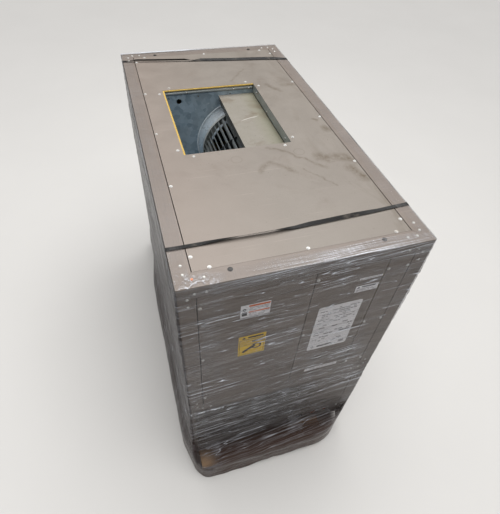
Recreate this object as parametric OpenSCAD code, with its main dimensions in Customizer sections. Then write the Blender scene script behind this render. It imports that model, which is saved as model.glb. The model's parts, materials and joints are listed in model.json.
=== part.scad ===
// Vertical belt-drive air-handling unit, strapped and wrapped on its shipping skid.
// The origin is on the floor under the middle of the skid; the front face looks along -Y.

/* [Cabinet] */
// Width of the front face
cabinet_w = 762; // [740:1:820]
// Depth from the front face to the rear face
cabinet_d = 1438; // [1400:2:1600]
// Height of the lower module, which holds the coil
lower_h = 454; // [440:1:520]
// Height of the upper module, which holds the blower
upper_h = 780; // [770:1:860]
// Thickness of the cabinet's sheet metal
sheet_t = 1.2; // [1:0.1:1.6]
// Width of the top rails and of the corner posts
rail_w = 51; // [48:1:56]
// Height of the top rails' front flange
top_rail_h = 46; // [42:1:50]
// Height of the other rails' front flange
rail_h = 54; // [50:1:58]
// Depth of the panels' turned edges
pan_depth = 20; // [16:1:22]
// Gap at the seams between panels
seam = 2.6; // [2:0.2:3]
// Gap between the top panel and the rails in front of it and behind it
end_seam = 0.6; // [0.4:0.1:2.6]
// Thickness of the wall insulation
insulation_t = 12; // [8:1:14]

/* [Discharge opening] */
// Width of the opening in the top panel
opening_w = 395; // [390:1:400]
// Depth of the opening in the top panel
opening_d = 475; // [440:1:480]
// Offset of the opening's middle from the cabinet's middle, across
opening_x = -52.5; // [-56:0.5:-50]
// Offset of the opening's middle from the cabinet's middle, front to rear
opening_y = 90; // [80:1:100]

/* [Blower] */
// Outer radius of the blower wheel
wheel_r = 187.5; // [184:0.5:189]
// Width of the blower wheel
wheel_w = 365; // [340:1:370]
// Distance from the wheel's axis to the opening's middle, across
wheel_offset = 141; // [140:0.5:142]
// Depth of the wheel's axis below the cabinet's top
wheel_drop = 270; // [262:1:276]
// Number of blades in each half of the wheel
blade_count = 48; // [36:1:50]
// Radius of the blower shaft
shaft_r = 12.7; // [11:0.1:14]
// Scroll radius at its tightest point, above the wheel
scroll_r = 202; // [200:1:206]

/* [Drive] */
// Pitch radius of the blower pulley
blower_pulley_r = 100; // [90:1:105]
// Pitch radius of the motor pulley
motor_pulley_r = 50; // [45:1:55]
// Position of the motor's axis, across
motor_x = -175; // [-190:1:-165]
// Height of the motor's axis above the joint of the two modules
motor_rise = 142; // [140:1:150]
// Radius of the motor shaft
motor_shaft_r = 11.1; // [9:0.1:12]

/* [Shipping skid] */
// Height of the skid's runners
runner_h = 89; // [80:1:100]
// Width of the skid's runners
runner_w = 89; // [60:1:95]
// Thickness of the deck boards
deck_t = 25; // [20:1:28]
// Width of the skid, which is narrower than the cabinet
skid_w = 600; // [570:1:640]
// Distance that the skid's middle lies to the left of the cabinet's
skid_left = 65; // [40:1:75]
// Distance that the skid stands out in front of and behind the cabinet
skid_reach = 80; // [60:1:90]
// Width of the black straps
strap_w = 12; // [10:1:16]
// Clearance between the cabinet and the stretch film
film_gap = 3.5; // [3:0.5:5]
// Distance that the film flares out at the bottom of the right side
film_flare = 10; // [6:1:30]
// How far the film's foot bells out on the left side
film_bell = 36; // [10:1:45]
// Distance that the film flares out at the bottom of the front and the rear
film_reach = 98; // [95:1:120]

/* [Hidden] */

$fn = 64;
tan_paint = [0.66, 0.60, 0.54];
dark_tan = [0.42, 0.38, 0.35];
galvanised = [0.62, 0.66, 0.68];
steel = [0.75, 0.76, 0.78];
wood = [0.62, 0.45, 0.29];
black = [0.06, 0.06, 0.07];
yellow = [0.93, 0.75, 0.35];

half_w = cabinet_w / 2;
half_d = cabinet_d / 2;
base_z = runner_h + deck_t;
joint_z = base_z + lower_h;
top_z = joint_z + upper_h;
hair = 0.3;

// Half widths of the panelled field between the rails, and the height of each module's panels
field_x = half_w - rail_w;
field_y = half_d - rail_w;
upper_low = joint_z + rail_h;
upper_high = top_z - top_rail_h;
lower_low = base_z + rail_h;
lower_high = joint_z - rail_h;

// Seams on the front face, measured from the cabinet's middle
control_left = 15;
control_right = 248;
control_low = top_z - 0.885 * cabinet_w;
piping_left = 80;

// Opening edges
open_left = opening_x - opening_w / 2;
open_right = opening_x + opening_w / 2;
open_front = opening_y - opening_d / 2;
open_rear = opening_y + opening_d / 2;

// Blower housing and wheel
wheel_x = opening_x + wheel_offset;
wheel_z = top_z - wheel_drop;
scroll_growth = (wheel_x - open_left - scroll_r) / 270;
scroll_t = 1.2;
gasket_t = 4;
lip_angle = -26;
cutoff_depth = 42;
plate_t = 1.5;
plate_lip = 10;
plate_top = top_z - 24;
rim_r = 156;
blade_outer_r = wheel_r - 1.5;
blade_sweep = 6;
blade_t = 0.8;
hub_r = 32;
hub_l = 60;
rim_t = 1.5;
rim_lip = 14;
bell_r = 197;
throat_r = 150;
bell_depth = (opening_d - wheel_w) / 2 + plate_t + 8;
support_reach = 30;
support_t = 4;
bearing_l = 30;
pulley_y = open_front - plate_t - support_reach - support_t - bearing_l - 32;

// Drive
motor_z = joint_z + motor_rise;
belt_dx = motor_x - wheel_x;
belt_dz = motor_z - wheel_z;
belt_c = norm([belt_dx, belt_dz]);
belt_turn = atan2(belt_dz, belt_dx);
belt_wrap = acos((blower_pulley_r - motor_pulley_r) / belt_c);
motor_r = 84;
motor_l = 250;
motor_front = pulley_y - 34;
foot_drop = 89;

// Scroll radius at an angle counted clockwise from the top, seen from the front
function scroll_at(a) = scroll_r + scroll_growth * max(a, 0);
function around(r, a) = [wheel_x + r * sin(a), wheel_z + r * cos(a)];
function spiral_angles(start) = [for (i = [0 : 50]) start + (270 - start) * i / 50];
function side_angles() = [0, 90, 180, 270];

// Turns a drawing of X and height so that it is extruded from y0 by length towards the rear
module along_depth(y0, length) {
    translate([0, y0 + length, 0])
        rotate([90, 0, 0])
            linear_extrude(length)
                children();
}

// Puts an axis along Y, with local +Z towards the front
module on_axis(x, z) {
    translate([x, 0, z])
        rotate([90, 0, 0])
            children();
}

// Local X and Y lie in the side's face and +Z points outwards; 0 is front, 90 right, 180 rear, 270 left
module on_side(angle) {
    out = (angle == 0 || angle == 180) ? half_d : half_w;
    rotate([0, 0, angle])
        translate([0, -out, 0])
            rotate([90, 0, 0])
                children();
}

// Sheet-metal pan with turned edges, its face between two corners at local z = 0
module pan(x0, y0, x1, y1, t = sheet_t) {
    g = seam / 2;
    difference() {
        translate([x0 + g, y0 + g, -pan_depth])
            cube([x1 - x0 - seam, y1 - y0 - seam, pan_depth]);
        translate([x0 + g + t, y0 + g + t, -pan_depth - 1])
            cube([x1 - x0 - seam - 2 * t, y1 - y0 - seam - 2 * t, pan_depth + 1 - t]);
    }
}

// L-shaped rail, mitred at both ends; its top flange is at local z = 0 and it runs along X
module mitred_rail(length, height, gap) {
    w = rail_w - gap / 2;
    intersection() {
        union() {
            translate([-length / 2, 0, -sheet_t])
                cube([length, w, sheet_t]);
            translate([-length / 2, 0, -height])
                cube([length, sheet_t, height]);
        }
        translate([0, 0, -height - 1])
            linear_extrude(height + 2)
                polygon([[-length / 2 + hair, 0], [length / 2 - hair, 0],
                         [length / 2 - hair - w, w], [-length / 2 + hair + w, w]]);
    }
}

// One mitred rail on a side of the cabinet, its flange at height z, turned up or down
module rail_on(angle, z, height, flange_up = true, gap = seam) {
    along = (angle == 0 || angle == 180) ? cabinet_w : cabinet_d;
    out = (angle == 0 || angle == 180) ? half_d : half_w;
    rotate([0, 0, angle])
        translate([0, -out, z])
            mirror([0, 0, flange_up ? 0 : 1])
                mitred_rail(along, height, gap);
}

module front_top_rail() {
    color(tan_paint)
        rail_on(0, top_z, top_rail_h, gap = end_seam);
}

module rear_top_rail() {
    color(tan_paint)
        rail_on(180, top_z, top_rail_h, gap = end_seam);
}

module side_top_rails() {
    color(tan_paint)
        for (angle = [90, 270])
            rail_on(angle, top_z, top_rail_h);
}

module module_joint_rails() {
    color(dark_tan)
        for (angle = side_angles()) {
            rail_on(angle, joint_z + hair, rail_h - hair, false);
            rail_on(angle, joint_z - hair, rail_h - hair);
        }
}

module base_rails() {
    color(dark_tan)
        for (angle = side_angles())
            rail_on(angle, base_z, rail_h, false);
}

// L-shaped corner posts between two heights
module corner_posts(low, high) {
    for (sx = [-1, 1], sy = [-1, 1])
        translate([sx * half_w, sy * half_d, low + hair])
            mirror([sx > 0 ? 1 : 0, 0, 0])
                mirror([0, sy > 0 ? 1 : 0, 0])
                    linear_extrude(high - low - 2 * hair)
                        polygon([[0, 0], [rail_w - seam / 2, 0], [rail_w - seam / 2, sheet_t],
                                 [sheet_t, sheet_t], [sheet_t, rail_w - seam / 2],
                                 [0, rail_w - seam / 2]]);
}

module upper_corner_posts() {
    color(dark_tan)
        corner_posts(upper_low, upper_high);
}

module lower_corner_posts() {
    color(dark_tan)
        corner_posts(lower_low, lower_high);
}

// Triangular plates that tie the rails together inside each corner
module corner_gussets() {
    leg = rail_w - 6;
    plate = 2;
    heights = [top_z - sheet_t - plate, joint_z + sheet_t + hair, joint_z - sheet_t - hair - plate,
               base_z + sheet_t];
    color(galvanised)
        for (z = heights, sx = [-1, 1], sy = [-1, 1])
            translate([sx * (half_w - sheet_t), sy * (half_d - sheet_t), z])
                mirror([sx > 0 ? 1 : 0, 0, 0])
                    mirror([0, sy > 0 ? 1 : 0, 0])
                        linear_extrude(plate)
                            polygon([[0, 0], [leg, 0], [0, leg]]);
}

module top_panel() {
    end_y = field_y + (seam - end_seam) / 2;
    color(tan_paint)
        difference() {
            translate([0, 0, top_z])
                pan(-field_x, -end_y, field_x, end_y);
            translate([open_left, open_front, top_z - pan_depth - 2])
                cube([opening_w, opening_d, pan_depth + 4]);
        }
}

module blower_access_panel() {
    color(dark_tan)
        on_side(0)
            pan(-field_x, upper_low, control_left, upper_high);
}

module control_panel_cover() {
    color(dark_tan)
        on_side(0)
            pan(control_left, control_low, control_right, upper_high);
}

// Fixed panel to the right of the control cover, with a foot that passes under it
module filler_panel() {
    color(dark_tan)
        on_side(0)
            difference() {
                pan(control_left, upper_low, field_x, upper_high);
                translate([control_left - 1, control_low - seam / 2, -pan_depth - 2])
                    cube([control_right - control_left + 1 + seam / 2, upper_high, pan_depth + 4]);
            }
}

module coil_access_panel() {
    color(dark_tan)
        on_side(0)
            pan(-field_x, lower_low, piping_left, lower_high);
}

// Pipe connections through the piping panel: position across, socket radius, wall
pipe_z = lower_low + 27;
drain_pipe = [130, 13.4, 3.6];
suction_pipe = [200, 14.35, 1.5];
liquid_pipe = [262, 8, 1.2];
socket_l = 25;

module piping_panel() {
    color(dark_tan)
        on_side(0)
            difference() {
                pan(piping_left, lower_low, field_x, lower_high);
                for (pipe = [drain_pipe, suction_pipe, liquid_pipe])
                    translate([pipe[0], pipe_z, -3])
                        cylinder(r = pipe[1] + pipe[2] + 2, h = 4);
            }
}

module upper_side_panels() {
    color(dark_tan)
        for (angle = [90, 270])
            on_side(angle)
                pan(-field_y, upper_low, field_y, upper_high);
}

module lower_side_panels() {
    color(dark_tan)
        for (angle = [90, 270])
            on_side(angle)
                pan(-field_y, lower_low, field_y, lower_high);
}

module rear_panel() {
    color(dark_tan)
        on_side(180)
            pan(-field_x, upper_low, field_x, upper_high);
}

// Return-air opening in the lower rear panel
return_w = 560;
return_h = 270;
return_low = lower_low + 38;

module return_panel() {
    color(dark_tan)
        on_side(180)
            difference() {
                pan(-field_x, lower_low, field_x, lower_high);
                translate([-return_w / 2, return_low, -pan_depth - 2])
                    cube([return_w, return_h, pan_depth + 4]);
            }
}

module bottom_panel() {
    inset = rail_w + 1;
    color(galvanised)
        translate([-half_w + inset, -half_d + inset, base_z])
            cube([cabinet_w - 2 * inset, cabinet_d - 2 * inset, sheet_t]);
}

// Round plugs in the front and rear top rails
module hole_plugs() {
    plug_r = 7.5;
    color(black)
        for (sx = [-1, 1], sy = [-1, 1])
            translate([sx * 230, sy * (half_d - 36), top_z]) {
                cylinder(r = plug_r, h = 1);
                cylinder(r = plug_r - 2, h = 1.8);
            }
}

module rivet() {
    cylinder(r1 = 4.6, r2 = 3.2, h = 1.8);
}

// Hexagon head with a washer, and a short tapping shank through the sheet
module screw() {
    translate([0, 0, -6])
        cylinder(r = 2, h = 6);
    cylinder(r = 5.6, h = 0.9);
    cylinder(r = 4, h = 2.8, $fn = 6);
}

// The four fasteners of one corner in a face: two along the rail and two down the post
module corner_set(place_h) {
    edge = 27;
    for (along = [47, 79]) {
        translate([along, place_h * edge, 0])
            rivet();
        translate([edge, place_h * along, 0])
            rivet();
    }
}

module corner_rivets() {
    faces = [for (angle = side_angles()) each [for (z = [top_z, joint_z, base_z]) [angle, z]]];
    color(steel) {
        for (face = faces, side = [-1, 1], up = [-1, 1]) {
            angle = face[0];
            across = (angle == 0 || angle == 180) ? half_w : half_d;
            inside = (face[1] == top_z && up > 0) || (face[1] == base_z && up < 0);
            if (!inside)
                on_side(angle)
                    translate([side * across, face[1], 0])
                        mirror([side > 0 ? 1 : 0, 0, 0])
                            corner_set(up);
        }
        for (sx = [-1, 1], sy = [-1, 1])
            translate([sx * half_w, sy * half_d, top_z])
                mirror([sx > 0 ? 1 : 0, 0, 0])
                    mirror([0, sy > 0 ? 1 : 0, 0])
                        corner_set(1);
    }
}

// A column of screws up a panel's edge
module screw_column(x, z0, z1, count) {
    for (i = [0 : count - 1])
        translate([x, z0 + (z1 - z0) * i / (count - 1), 0])
            screw();
}

module cabinet_screws() {
    inset = 8;
    low = upper_low + 60;
    high = upper_high - 50;
    corner_in = 30;
    outside = 16;
    color(steel) {
        // Top panel: five along each side and three at each end
        for (sx = [-1, 1], i = [-2 : 2])
            translate([sx * (field_x - inset), i * 308, top_z])
                screw();
        for (sy = [-1, 1], i = [-1 : 1])
            translate([i * 281, sy * (field_y - inset + 2), top_z])
                screw();
        // Pairs at the corners of the discharge opening
        for (x = [open_left, open_right], y = [open_front, open_rear]) {
            sx = x > opening_x ? 1 : -1;
            sy = y > opening_y ? 1 : -1;
            translate([x + sx * outside, y - sy * corner_in, top_z])
                screw();
            translate([x - sx * corner_in, y + sy * outside, top_z])
                screw();
        }
        // Front panels
        on_side(0) {
            screw_column(-field_x + inset, low, high, 3);
            screw_column(control_left + inset, control_low + 300, upper_high - 35, 2);
            screw_column(control_right + inset, low, high, 3);
            screw_column(field_x - inset, low, high, 3);
            for (x = [-field_x + inset, piping_left - inset, piping_left + inset, field_x - inset])
                screw_column(x, lower_low + 40, lower_high - 40, 2);
        }
        for (angle = [90, 270])
            on_side(angle)
                for (sx = [-1, 1]) {
                    screw_column(sx * (field_y - inset), low, high, 3);
                    screw_column(sx * (field_y - inset), lower_low + 40, lower_high - 40, 2);
                }
        on_side(180)
            for (sx = [-1, 1]) {
                screw_column(sx * (field_x - inset), low, high, 3);
                screw_column(sx * (field_x - inset), lower_low + 40, lower_high - 40, 2);
            }
    }
}

// Foam boards bonded inside the wall panels
module wall_insulation() {
    border = pan_depth + 6;
    back = sheet_t + insulation_t;
    color(yellow)
        for (angle = [90, 180, 270]) {
            field = (angle == 180) ? field_x : field_y;
            on_side(angle) {
                translate([-field + border, upper_low + border, -back])
                    cube([2 * field - 2 * border, upper_high - upper_low - 2 * border, insulation_t]);
                if (angle != 180)
                    translate([-field + border, lower_low + border, -back])
                        cube([2 * field - 2 * border, lower_high - lower_low - 2 * border, insulation_t]);
            }
        }
}

// Insulation under the top panel, cut out round the discharge opening
module top_insulation() {
    border = 30;
    gap = 22;
    color(yellow)
        translate([0, 0, top_z - sheet_t - insulation_t])
            difference() {
                translate([-field_x + border, -field_y + border, 0])
                    cube([2 * (field_x - border), 2 * (field_y - border), insulation_t]);
                translate([open_left - gap, open_front - gap, -1])
                    cube([opening_w + 2 * gap, opening_d + 2 * gap, insulation_t + 2]);
            }
}

// Galvanised angles round the opening: a rolled bead at the rear, a deep leg on the right
module outlet_flanges() {
    t = 1.5;
    leg = 18;
    drop = 18;
    deep = 36;
    bead_r = 6.5;
    bead_drop = 17;
    high = top_z - sheet_t - gasket_t;
    color(galvanised) {
        translate([open_left + 2, open_front - t, high - drop])
            cube([opening_w - 4, t, drop]);
        translate([open_left + 2, open_front - leg, high - t])
            cube([opening_w - 4, leg, t]);
        translate([open_left + 2, open_rear, high - drop])
            cube([opening_w - 4, t, drop]);
        translate([open_left + 2, open_rear, high - t])
            cube([opening_w - 4, leg, t]);
        intersection() {
            translate([open_left + 2, open_rear + bead_r - 4, top_z - bead_drop])
                rotate([0, 90, 0])
                    cylinder(r = bead_r, h = opening_w - 4);
            translate([open_left, open_rear - bead_r, top_z - bead_drop - bead_r])
                cube([opening_w, bead_r + t / 2, 2 * bead_r]);
        }
        translate([open_left - t, open_front + 2, high - drop])
            cube([t, opening_d - 4, drop]);
        translate([open_left - leg, open_front + 2, high - t])
            cube([leg, opening_d - 4, t]);
        translate([open_right, open_front + 3.5, top_z - sheet_t - deep])
            cube([t, opening_d - 9, deep - hair]);
        translate([open_right, open_front + 2, high - t])
            cube([leg, opening_d - 4, t]);
    }
}

// Foam strip between the top panel and the outlet flanges; its cut edge shows in the opening
module opening_gasket() {
    show_left = 6;
    behind_front = 2.5;
    show_rear = 5;
    behind_right = 2.5;
    width = 20;
    color(yellow)
        translate([0, 0, top_z - sheet_t - gasket_t])
            difference() {
                translate([open_left - width, open_front - width, 0])
                    cube([opening_w + 2 * width, opening_d + 2 * width, gasket_t]);
                translate([open_left + show_left, open_front - behind_front, -1])
                    cube([opening_w - show_left + behind_right,
                          opening_d + behind_front - show_rear, gasket_t + 2]);
            }
}

// Spiral wrapper of the blower housing, open towards the outlet
module scroll_sheet() {
    angles = spiral_angles(lip_angle + 2);
    wall = [for (a = angles) around(scroll_at(a), a)];
    back = [for (i = [len(angles) - 1 : -1 : 0]) around(scroll_at(angles[i]) + scroll_t, angles[i])];
    color(galvanised)
        along_depth(open_front, opening_d)
            polygon(concat(wall, [[open_left, wheel_z], [open_left, plate_top],
                                  [open_left - scroll_t, plate_top], [open_left - scroll_t, wheel_z]],
                           back));
}

// Outline shared by the two side plates: the spiral, and the throat up to the outlet
module plate_outline() {
    start = 20;
    spiral = [for (a = spiral_angles(start)) around(scroll_at(a) + plate_lip, a)];
    polygon(concat(spiral, [[open_left - plate_lip, plate_top], [spiral[0][0], plate_top]]));
}

module side_plate(y0) {
    small_r = 3.2;
    knock_r = 11;
    color(galvanised)
        along_depth(y0, plate_t)
            difference() {
                plate_outline();
                translate([wheel_x, wheel_z])
                    circle(r = bell_r);
                translate([open_left + 66, plate_top - 30])
                    circle(r = knock_r);
                for (dx = [24, 150, 292])
                    translate([open_left + dx, plate_top - 14])
                        circle(r = small_r);
            }
}

module front_side_plate() {
    side_plate(open_front - plate_t);
}

module rear_side_plate() {
    side_plate(open_rear);
}

// Flat shelf and lip that close the outlet over the wheel
module cutoff_plate() {
    t = 1.5;
    lip = around(scroll_r, lip_angle);
    shelf_x = lip[0] - 10;
    shelf_z = top_z - cutoff_depth;
    color(tan_paint)
        along_depth(open_front + 0.5, opening_d - 1)
            polygon([[open_right, shelf_z], [shelf_x, shelf_z], lip, lip + [t, t],
                     [shelf_x + 1.2 * t, shelf_z - t], [open_right, shelf_z - t]]);
}

// Bell-mouth ring, its flat flange at local z = 0 and the bell towards -Z
module inlet_ring() {
    t = 1.5;
    steps = 8;
    reach = bell_r - hair - throat_r;
    outer = [for (i = [0 : steps])
             [throat_r + reach * (1 - sin(90 * i / steps)), -bell_depth * (1 - cos(90 * i / steps))]];
    inner = [for (i = [steps : -1 : 0]) outer[i] - [t, 0]];
    rotate_extrude()
        polygon(concat([[bell_r + 16, 0], [bell_r + 16, t], [bell_r - hair - t, t]], [inner[steps]],
                       [for (i = [steps - 1 : -1 : 0]) outer[steps - i] - [t, 0]],
                       [for (i = [steps : -1 : 1]) outer[i]], [[bell_r - hair, 0]]));
}

module inlet_rings() {
    color(galvanised) {
        on_axis(wheel_x, wheel_z)
            translate([0, 0, plate_t - open_front])
                inlet_ring();
        on_axis(wheel_x, wheel_z)
            translate([0, 0, -open_rear - plate_t])
                mirror([0, 0, 1])
                    inlet_ring();
    }
}

// Hat-shaped bar across an inlet, carrying a bearing
module bearing_support() {
    foot = 34;
    span = bell_r + 20;
    leg = support_reach;
    t = support_t;
    height = 50;
    difference() {
        translate([0, 25, 0])
            rotate([90, 0, 0])
                linear_extrude(height)
                    polygon([[-span - foot, 0], [-span, 0], [-span, leg], [span, leg], [span, 0],
                             [span + foot, 0], [span + foot, t], [span + t, t], [span + t, leg + t],
                             [-span - t, leg + t], [-span - t, t], [-span - foot, t]]);
        translate([0, 0, -1])
            cylinder(r = shaft_r + 6, h = leg + t + 2);
    }
}

module bearing_supports() {
    color(steel) {
        on_axis(wheel_x, wheel_z)
            translate([0, 0, plate_t - open_front])
                bearing_support();
        on_axis(wheel_x, wheel_z)
            translate([0, 0, -open_rear - plate_t])
                mirror([0, 0, 1])
                    bearing_support();
    }
}

// Flanged ball-bearing housing with a running fit on the shaft
module bearing() {
    difference() {
        union() {
            cylinder(r = 34, h = bearing_l);
            translate([-60, -20, 0])
                cube([120, 40, 10]);
        }
        translate([0, 0, -1])
            cylinder(r = shaft_r + 0.05, h = bearing_l + 2);
        for (sx = [-1, 1])
            translate([sx * 50, 0, -1])
                cylinder(r = 4.5, h = 12);
    }
}

module blower_bearings() {
    offset_out = plate_t + support_reach + support_t;
    color(dark_tan) {
        on_axis(wheel_x, wheel_z)
            translate([0, 0, offset_out - open_front])
                bearing();
        on_axis(wheel_x, wheel_z)
            translate([0, 0, -open_rear - offset_out])
                mirror([0, 0, 1])
                    bearing();
    }
}

// Forward-curved blade section, sweeping clockwise from the inner to the outer edge
function blade_point(s, side) =
    let (r = rim_r + (blade_outer_r - rim_r) * s, a = blade_sweep * s * s, d = side * blade_t / 2)
    [r * sin(a) + d * cos(a), r * cos(a) - d * sin(a)];

module blade_section() {
    steps = 5;
    polygon(concat([for (i = [0 : steps]) blade_point(i / steps, -1)],
                   [for (i = [steps : -1 : 0]) blade_point(i / steps, 1)]));
}

module wheel_blades() {
    half = wheel_w / 2 - 1 - rim_t;
    color(steel)
        on_axis(wheel_x, wheel_z)
            for (i = [0 : blade_count - 1], side = [-1, 1])
                rotate([0, 0, -i * 360 / blade_count])
                    translate([0, 0, -opening_y + (side < 0 ? -1 - half : 1)])
                        linear_extrude(half)
                            blade_section();
}

// End rings that hold the blade tips
module wheel_rims() {
    color(steel)
        on_axis(wheel_x, wheel_z)
            translate([0, 0, -opening_y])
                for (side = [0, 1])
                    mirror([0, 0, side])
                        translate([0, 0, wheel_w / 2 - rim_lip])
                            rotate_extrude()
                                polygon([[rim_r, rim_lip - rim_t], [blade_outer_r + hair, rim_lip - rim_t],
                                         [blade_outer_r + hair, 0], [wheel_r, 0], [wheel_r, rim_lip],
                                         [rim_r, rim_lip]]);
}

module wheel_center_plate() {
    color(steel)
        on_axis(wheel_x, wheel_z)
            translate([0, 0, -opening_y - 1])
                difference() {
                    cylinder(r = blade_outer_r, h = 2);
                    translate([0, 0, -1])
                        cylinder(r = hub_r, h = 4);
                }
}

module wheel_hub() {
    color(steel)
        on_axis(wheel_x, wheel_z)
            translate([0, 0, -opening_y - hub_l / 2])
                difference() {
                    union() {
                        cylinder(r = hub_r, h = hub_l);
                        translate([0, 0, hub_l / 2 + 1])
                            cylinder(r = hub_r + 14, h = 4);
                    }
                    translate([0, 0, -1])
                        cylinder(r = shaft_r, h = hub_l + 2);
                }
}

shaft_front = pulley_y - 22;
shaft_rear = open_rear + plate_t + support_reach + support_t + bearing_l + 16;

module blower_shaft() {
    color(steel)
        on_axis(wheel_x, wheel_z)
            translate([0, 0, -shaft_rear])
                cylinder(r = shaft_r, h = shaft_rear - shaft_front);
}

// V-belt pulley centred on local z = 0, with its hub towards -Z
module pulley(pitch_r, bore_r, hub_reach) {
    rim = pitch_r + 5.5;
    width = 25;
    groove_top = 8.6;
    groove_low = 5.2;
    floor_r = pitch_r - 8;
    hub = bore_r + 14;
    web = 5;
    rotate_extrude()
        polygon([[bore_r, -hub_reach], [hub, -hub_reach], [hub, -web], [floor_r - 7, -web],
                 [floor_r - 7, -width / 2], [rim, -width / 2], [rim, -groove_top], [floor_r, -groove_low],
                 [floor_r, groove_low], [rim, groove_top], [rim, width / 2], [floor_r - 7, width / 2],
                 [floor_r - 7, web], [hub, web], [bore_r, web]]);
}

module blower_pulley() {
    color(dark_tan)
        on_axis(wheel_x, wheel_z)
            translate([0, 0, -pulley_y])
                pulley(blower_pulley_r, shaft_r, 20);
}

module motor_pulley() {
    color(dark_tan)
        on_axis(motor_x, motor_z)
            translate([0, 0, -pulley_y])
                mirror([0, 0, 1])
                    pulley(motor_pulley_r, motor_shaft_r, 20);
}

// Cross-section of the V-belt, its radius counted from the pitch line
module belt_section(pitch_r) {
    translate([pitch_r, 0])
        polygon([[-6, -4.9], [4, -7.2], [4, 7.2], [-6, 4.9]]);
}

module drive_belt() {
    run = sqrt(belt_c * belt_c - pow(blower_pulley_r - motor_pulley_r, 2));
    color(black)
        on_axis(wheel_x, wheel_z)
            translate([0, 0, -pulley_y])
                rotate([0, 0, belt_turn]) {
                    rotate([0, 0, belt_wrap])
                        rotate_extrude(angle = 360 - 2 * belt_wrap)
                            belt_section(blower_pulley_r);
                    translate([belt_c, 0, 0])
                        rotate([0, 0, -belt_wrap])
                            rotate_extrude(angle = 2 * belt_wrap)
                                belt_section(motor_pulley_r);
                    for (side = [0, 1])
                        mirror([0, side, 0])
                            rotate([0, 0, belt_wrap])
                                rotate([90, 0, 0])
                                    linear_extrude(run)
                                        belt_section(blower_pulley_r);
                }
}

// Foot-mounted motor; its shaft comes out towards the rear, at the pulley
module motor_body() {
    bell = 30;
    color(dark_tan)
        difference() {
            union() {
                on_axis(motor_x, motor_z) {
                    translate([0, 0, -motor_front + bell])
                        cylinder(r = motor_r, h = motor_l - 2 * bell);
                    translate([0, 0, -motor_front])
                        cylinder(r1 = motor_r - 22, r2 = motor_r - 4, h = bell);
                    translate([0, 0, -motor_front + motor_l - bell])
                        cylinder(r1 = motor_r - 4, r2 = motor_r - 22, h = bell);
                }
                translate([motor_x - 70, motor_front - motor_l + 55, motor_z - foot_drop])
                    cube([140, 140, 5]);
                for (sx = [-1, 1])
                    translate([motor_x + sx * 50 - 4, motor_front - motor_l + 55, motor_z - foot_drop + 4])
                        cube([8, 140, 34]);
                translate([motor_x - motor_r - 22, motor_front - 170, motor_z - 30])
                    cube([42, 80, 60]);
            }
            on_axis(motor_x, motor_z)
                translate([0, 0, -motor_front - 1])
                    cylinder(r = motor_shaft_r + 0.05, h = 70);
        }
}

module motor_shaft() {
    seat = 60;
    reach = pulley_y + 20 - motor_front;
    color(steel)
        on_axis(motor_x, motor_z)
            translate([0, 0, -motor_front - reach])
                cylinder(r = motor_shaft_r, h = reach + seat);
}

motor_base_t = 13;
motor_rail_top = motor_z - foot_drop - motor_base_t;

// Slide base under the motor, with its two belt-tension screws
module motor_base() {
    length = 250;
    y0 = motor_front - motor_l + 25;
    color(galvanised) {
        difference() {
            translate([motor_x - length / 2, y0, motor_rail_top])
                cube([length, 200, motor_base_t]);
            translate([motor_x - length / 2 + 15, y0 + 20, motor_rail_top - 1])
                cube([length - 30, 160, motor_base_t - 3]);
        }
        for (dy = [45, 155])
            translate([motor_x + 71, y0 + dy, motor_rail_top + motor_base_t + 8])
                rotate([0, 90, 0])
                    cylinder(r = 5, h = 70);
    }
}

// C-shaped channel along X with its web on top
module cross_channel(x0, x1, y, top, depth = 30) {
    t = 2.5;
    width = 40;
    difference() {
        translate([x0, y - width / 2, top - depth])
            cube([x1 - x0, width, depth]);
        translate([x0 - 1, y - width / 2 + t, top - depth - 1])
            cube([x1 - x0 + 2, width - 2 * t, depth + 1 - t]);
    }
}

// Channels that carry the motor base and the blower housing, and the blower's four uprights
module support_rails() {
    reach = half_w - pan_depth - 3;
    motor_y = motor_front - motor_l + 125;
    blower_top = wheel_z - scroll_at(180) - plate_lip - 0.5;
    foot_z = joint_z + sheet_t + hair;
    color(galvanised) {
        for (dy = [-70, 70])
            cross_channel(-reach, reach, motor_y + dy, motor_rail_top, motor_rail_top - foot_z);
        for (y = [open_front + 90, open_rear - 90]) {
            cross_channel(-reach, reach, y, blower_top);
            for (sx = [-1, 1])
                translate([sx * (reach - 20) - 19, y - 19, foot_z])
                    cube([38, 38, blower_top - 30 - foot_z]);
        }
    }
}

// Electrical enclosure behind the control cover: an open-fronted tray with its parts
box_x0 = 35;
box_x1 = 228;
box_y0 = -half_d + 24;
box_depth = 120;
box_z0 = control_low + 60;
box_z1 = upper_high - 60;

module control_box() {
    t = 1.5;
    color(galvanised)
        difference() {
            translate([box_x0, box_y0, box_z0])
                cube([box_x1 - box_x0, box_depth, box_z1 - box_z0]);
            translate([box_x0 + t, box_y0 - 1, box_z0 + t])
                cube([box_x1 - box_x0 - 2 * t, box_depth + 1 - t, box_z1 - box_z0 - 2 * t]);
        }
}

// Contactor, transformer and terminal strip on the box's back wall
module contactor() {
    back = box_y0 + box_depth - 1.5;
    color(black) {
        translate([box_x0 + 30, back - 75, box_z1 - 150])
            cube([60, 75, 85]);
        translate([box_x0 + 110, back - 60, box_z1 - 140])
            cube([55, 60, 65]);
        difference() {
            translate([box_x0 + 30, back - 25, box_z0 + 120])
                cube([130, 25, 30]);
            for (i = [0 : 5])
                translate([box_x0 + 36 + i * 21, back - 26, box_z0 + 132])
                    cube([14, 12, 19]);
        }
    }
}

// Slanted finned slab above the drain pan
coil_l = 760;
coil_t = 66;
coil_w = 560;
coil_tilt = 17;
coil_y = -560;
coil_z = base_z + 110;

module coil_frame() {
    translate([0, coil_y, coil_z])
        rotate([coil_tilt, 0, 0])
            children();
}

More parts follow.
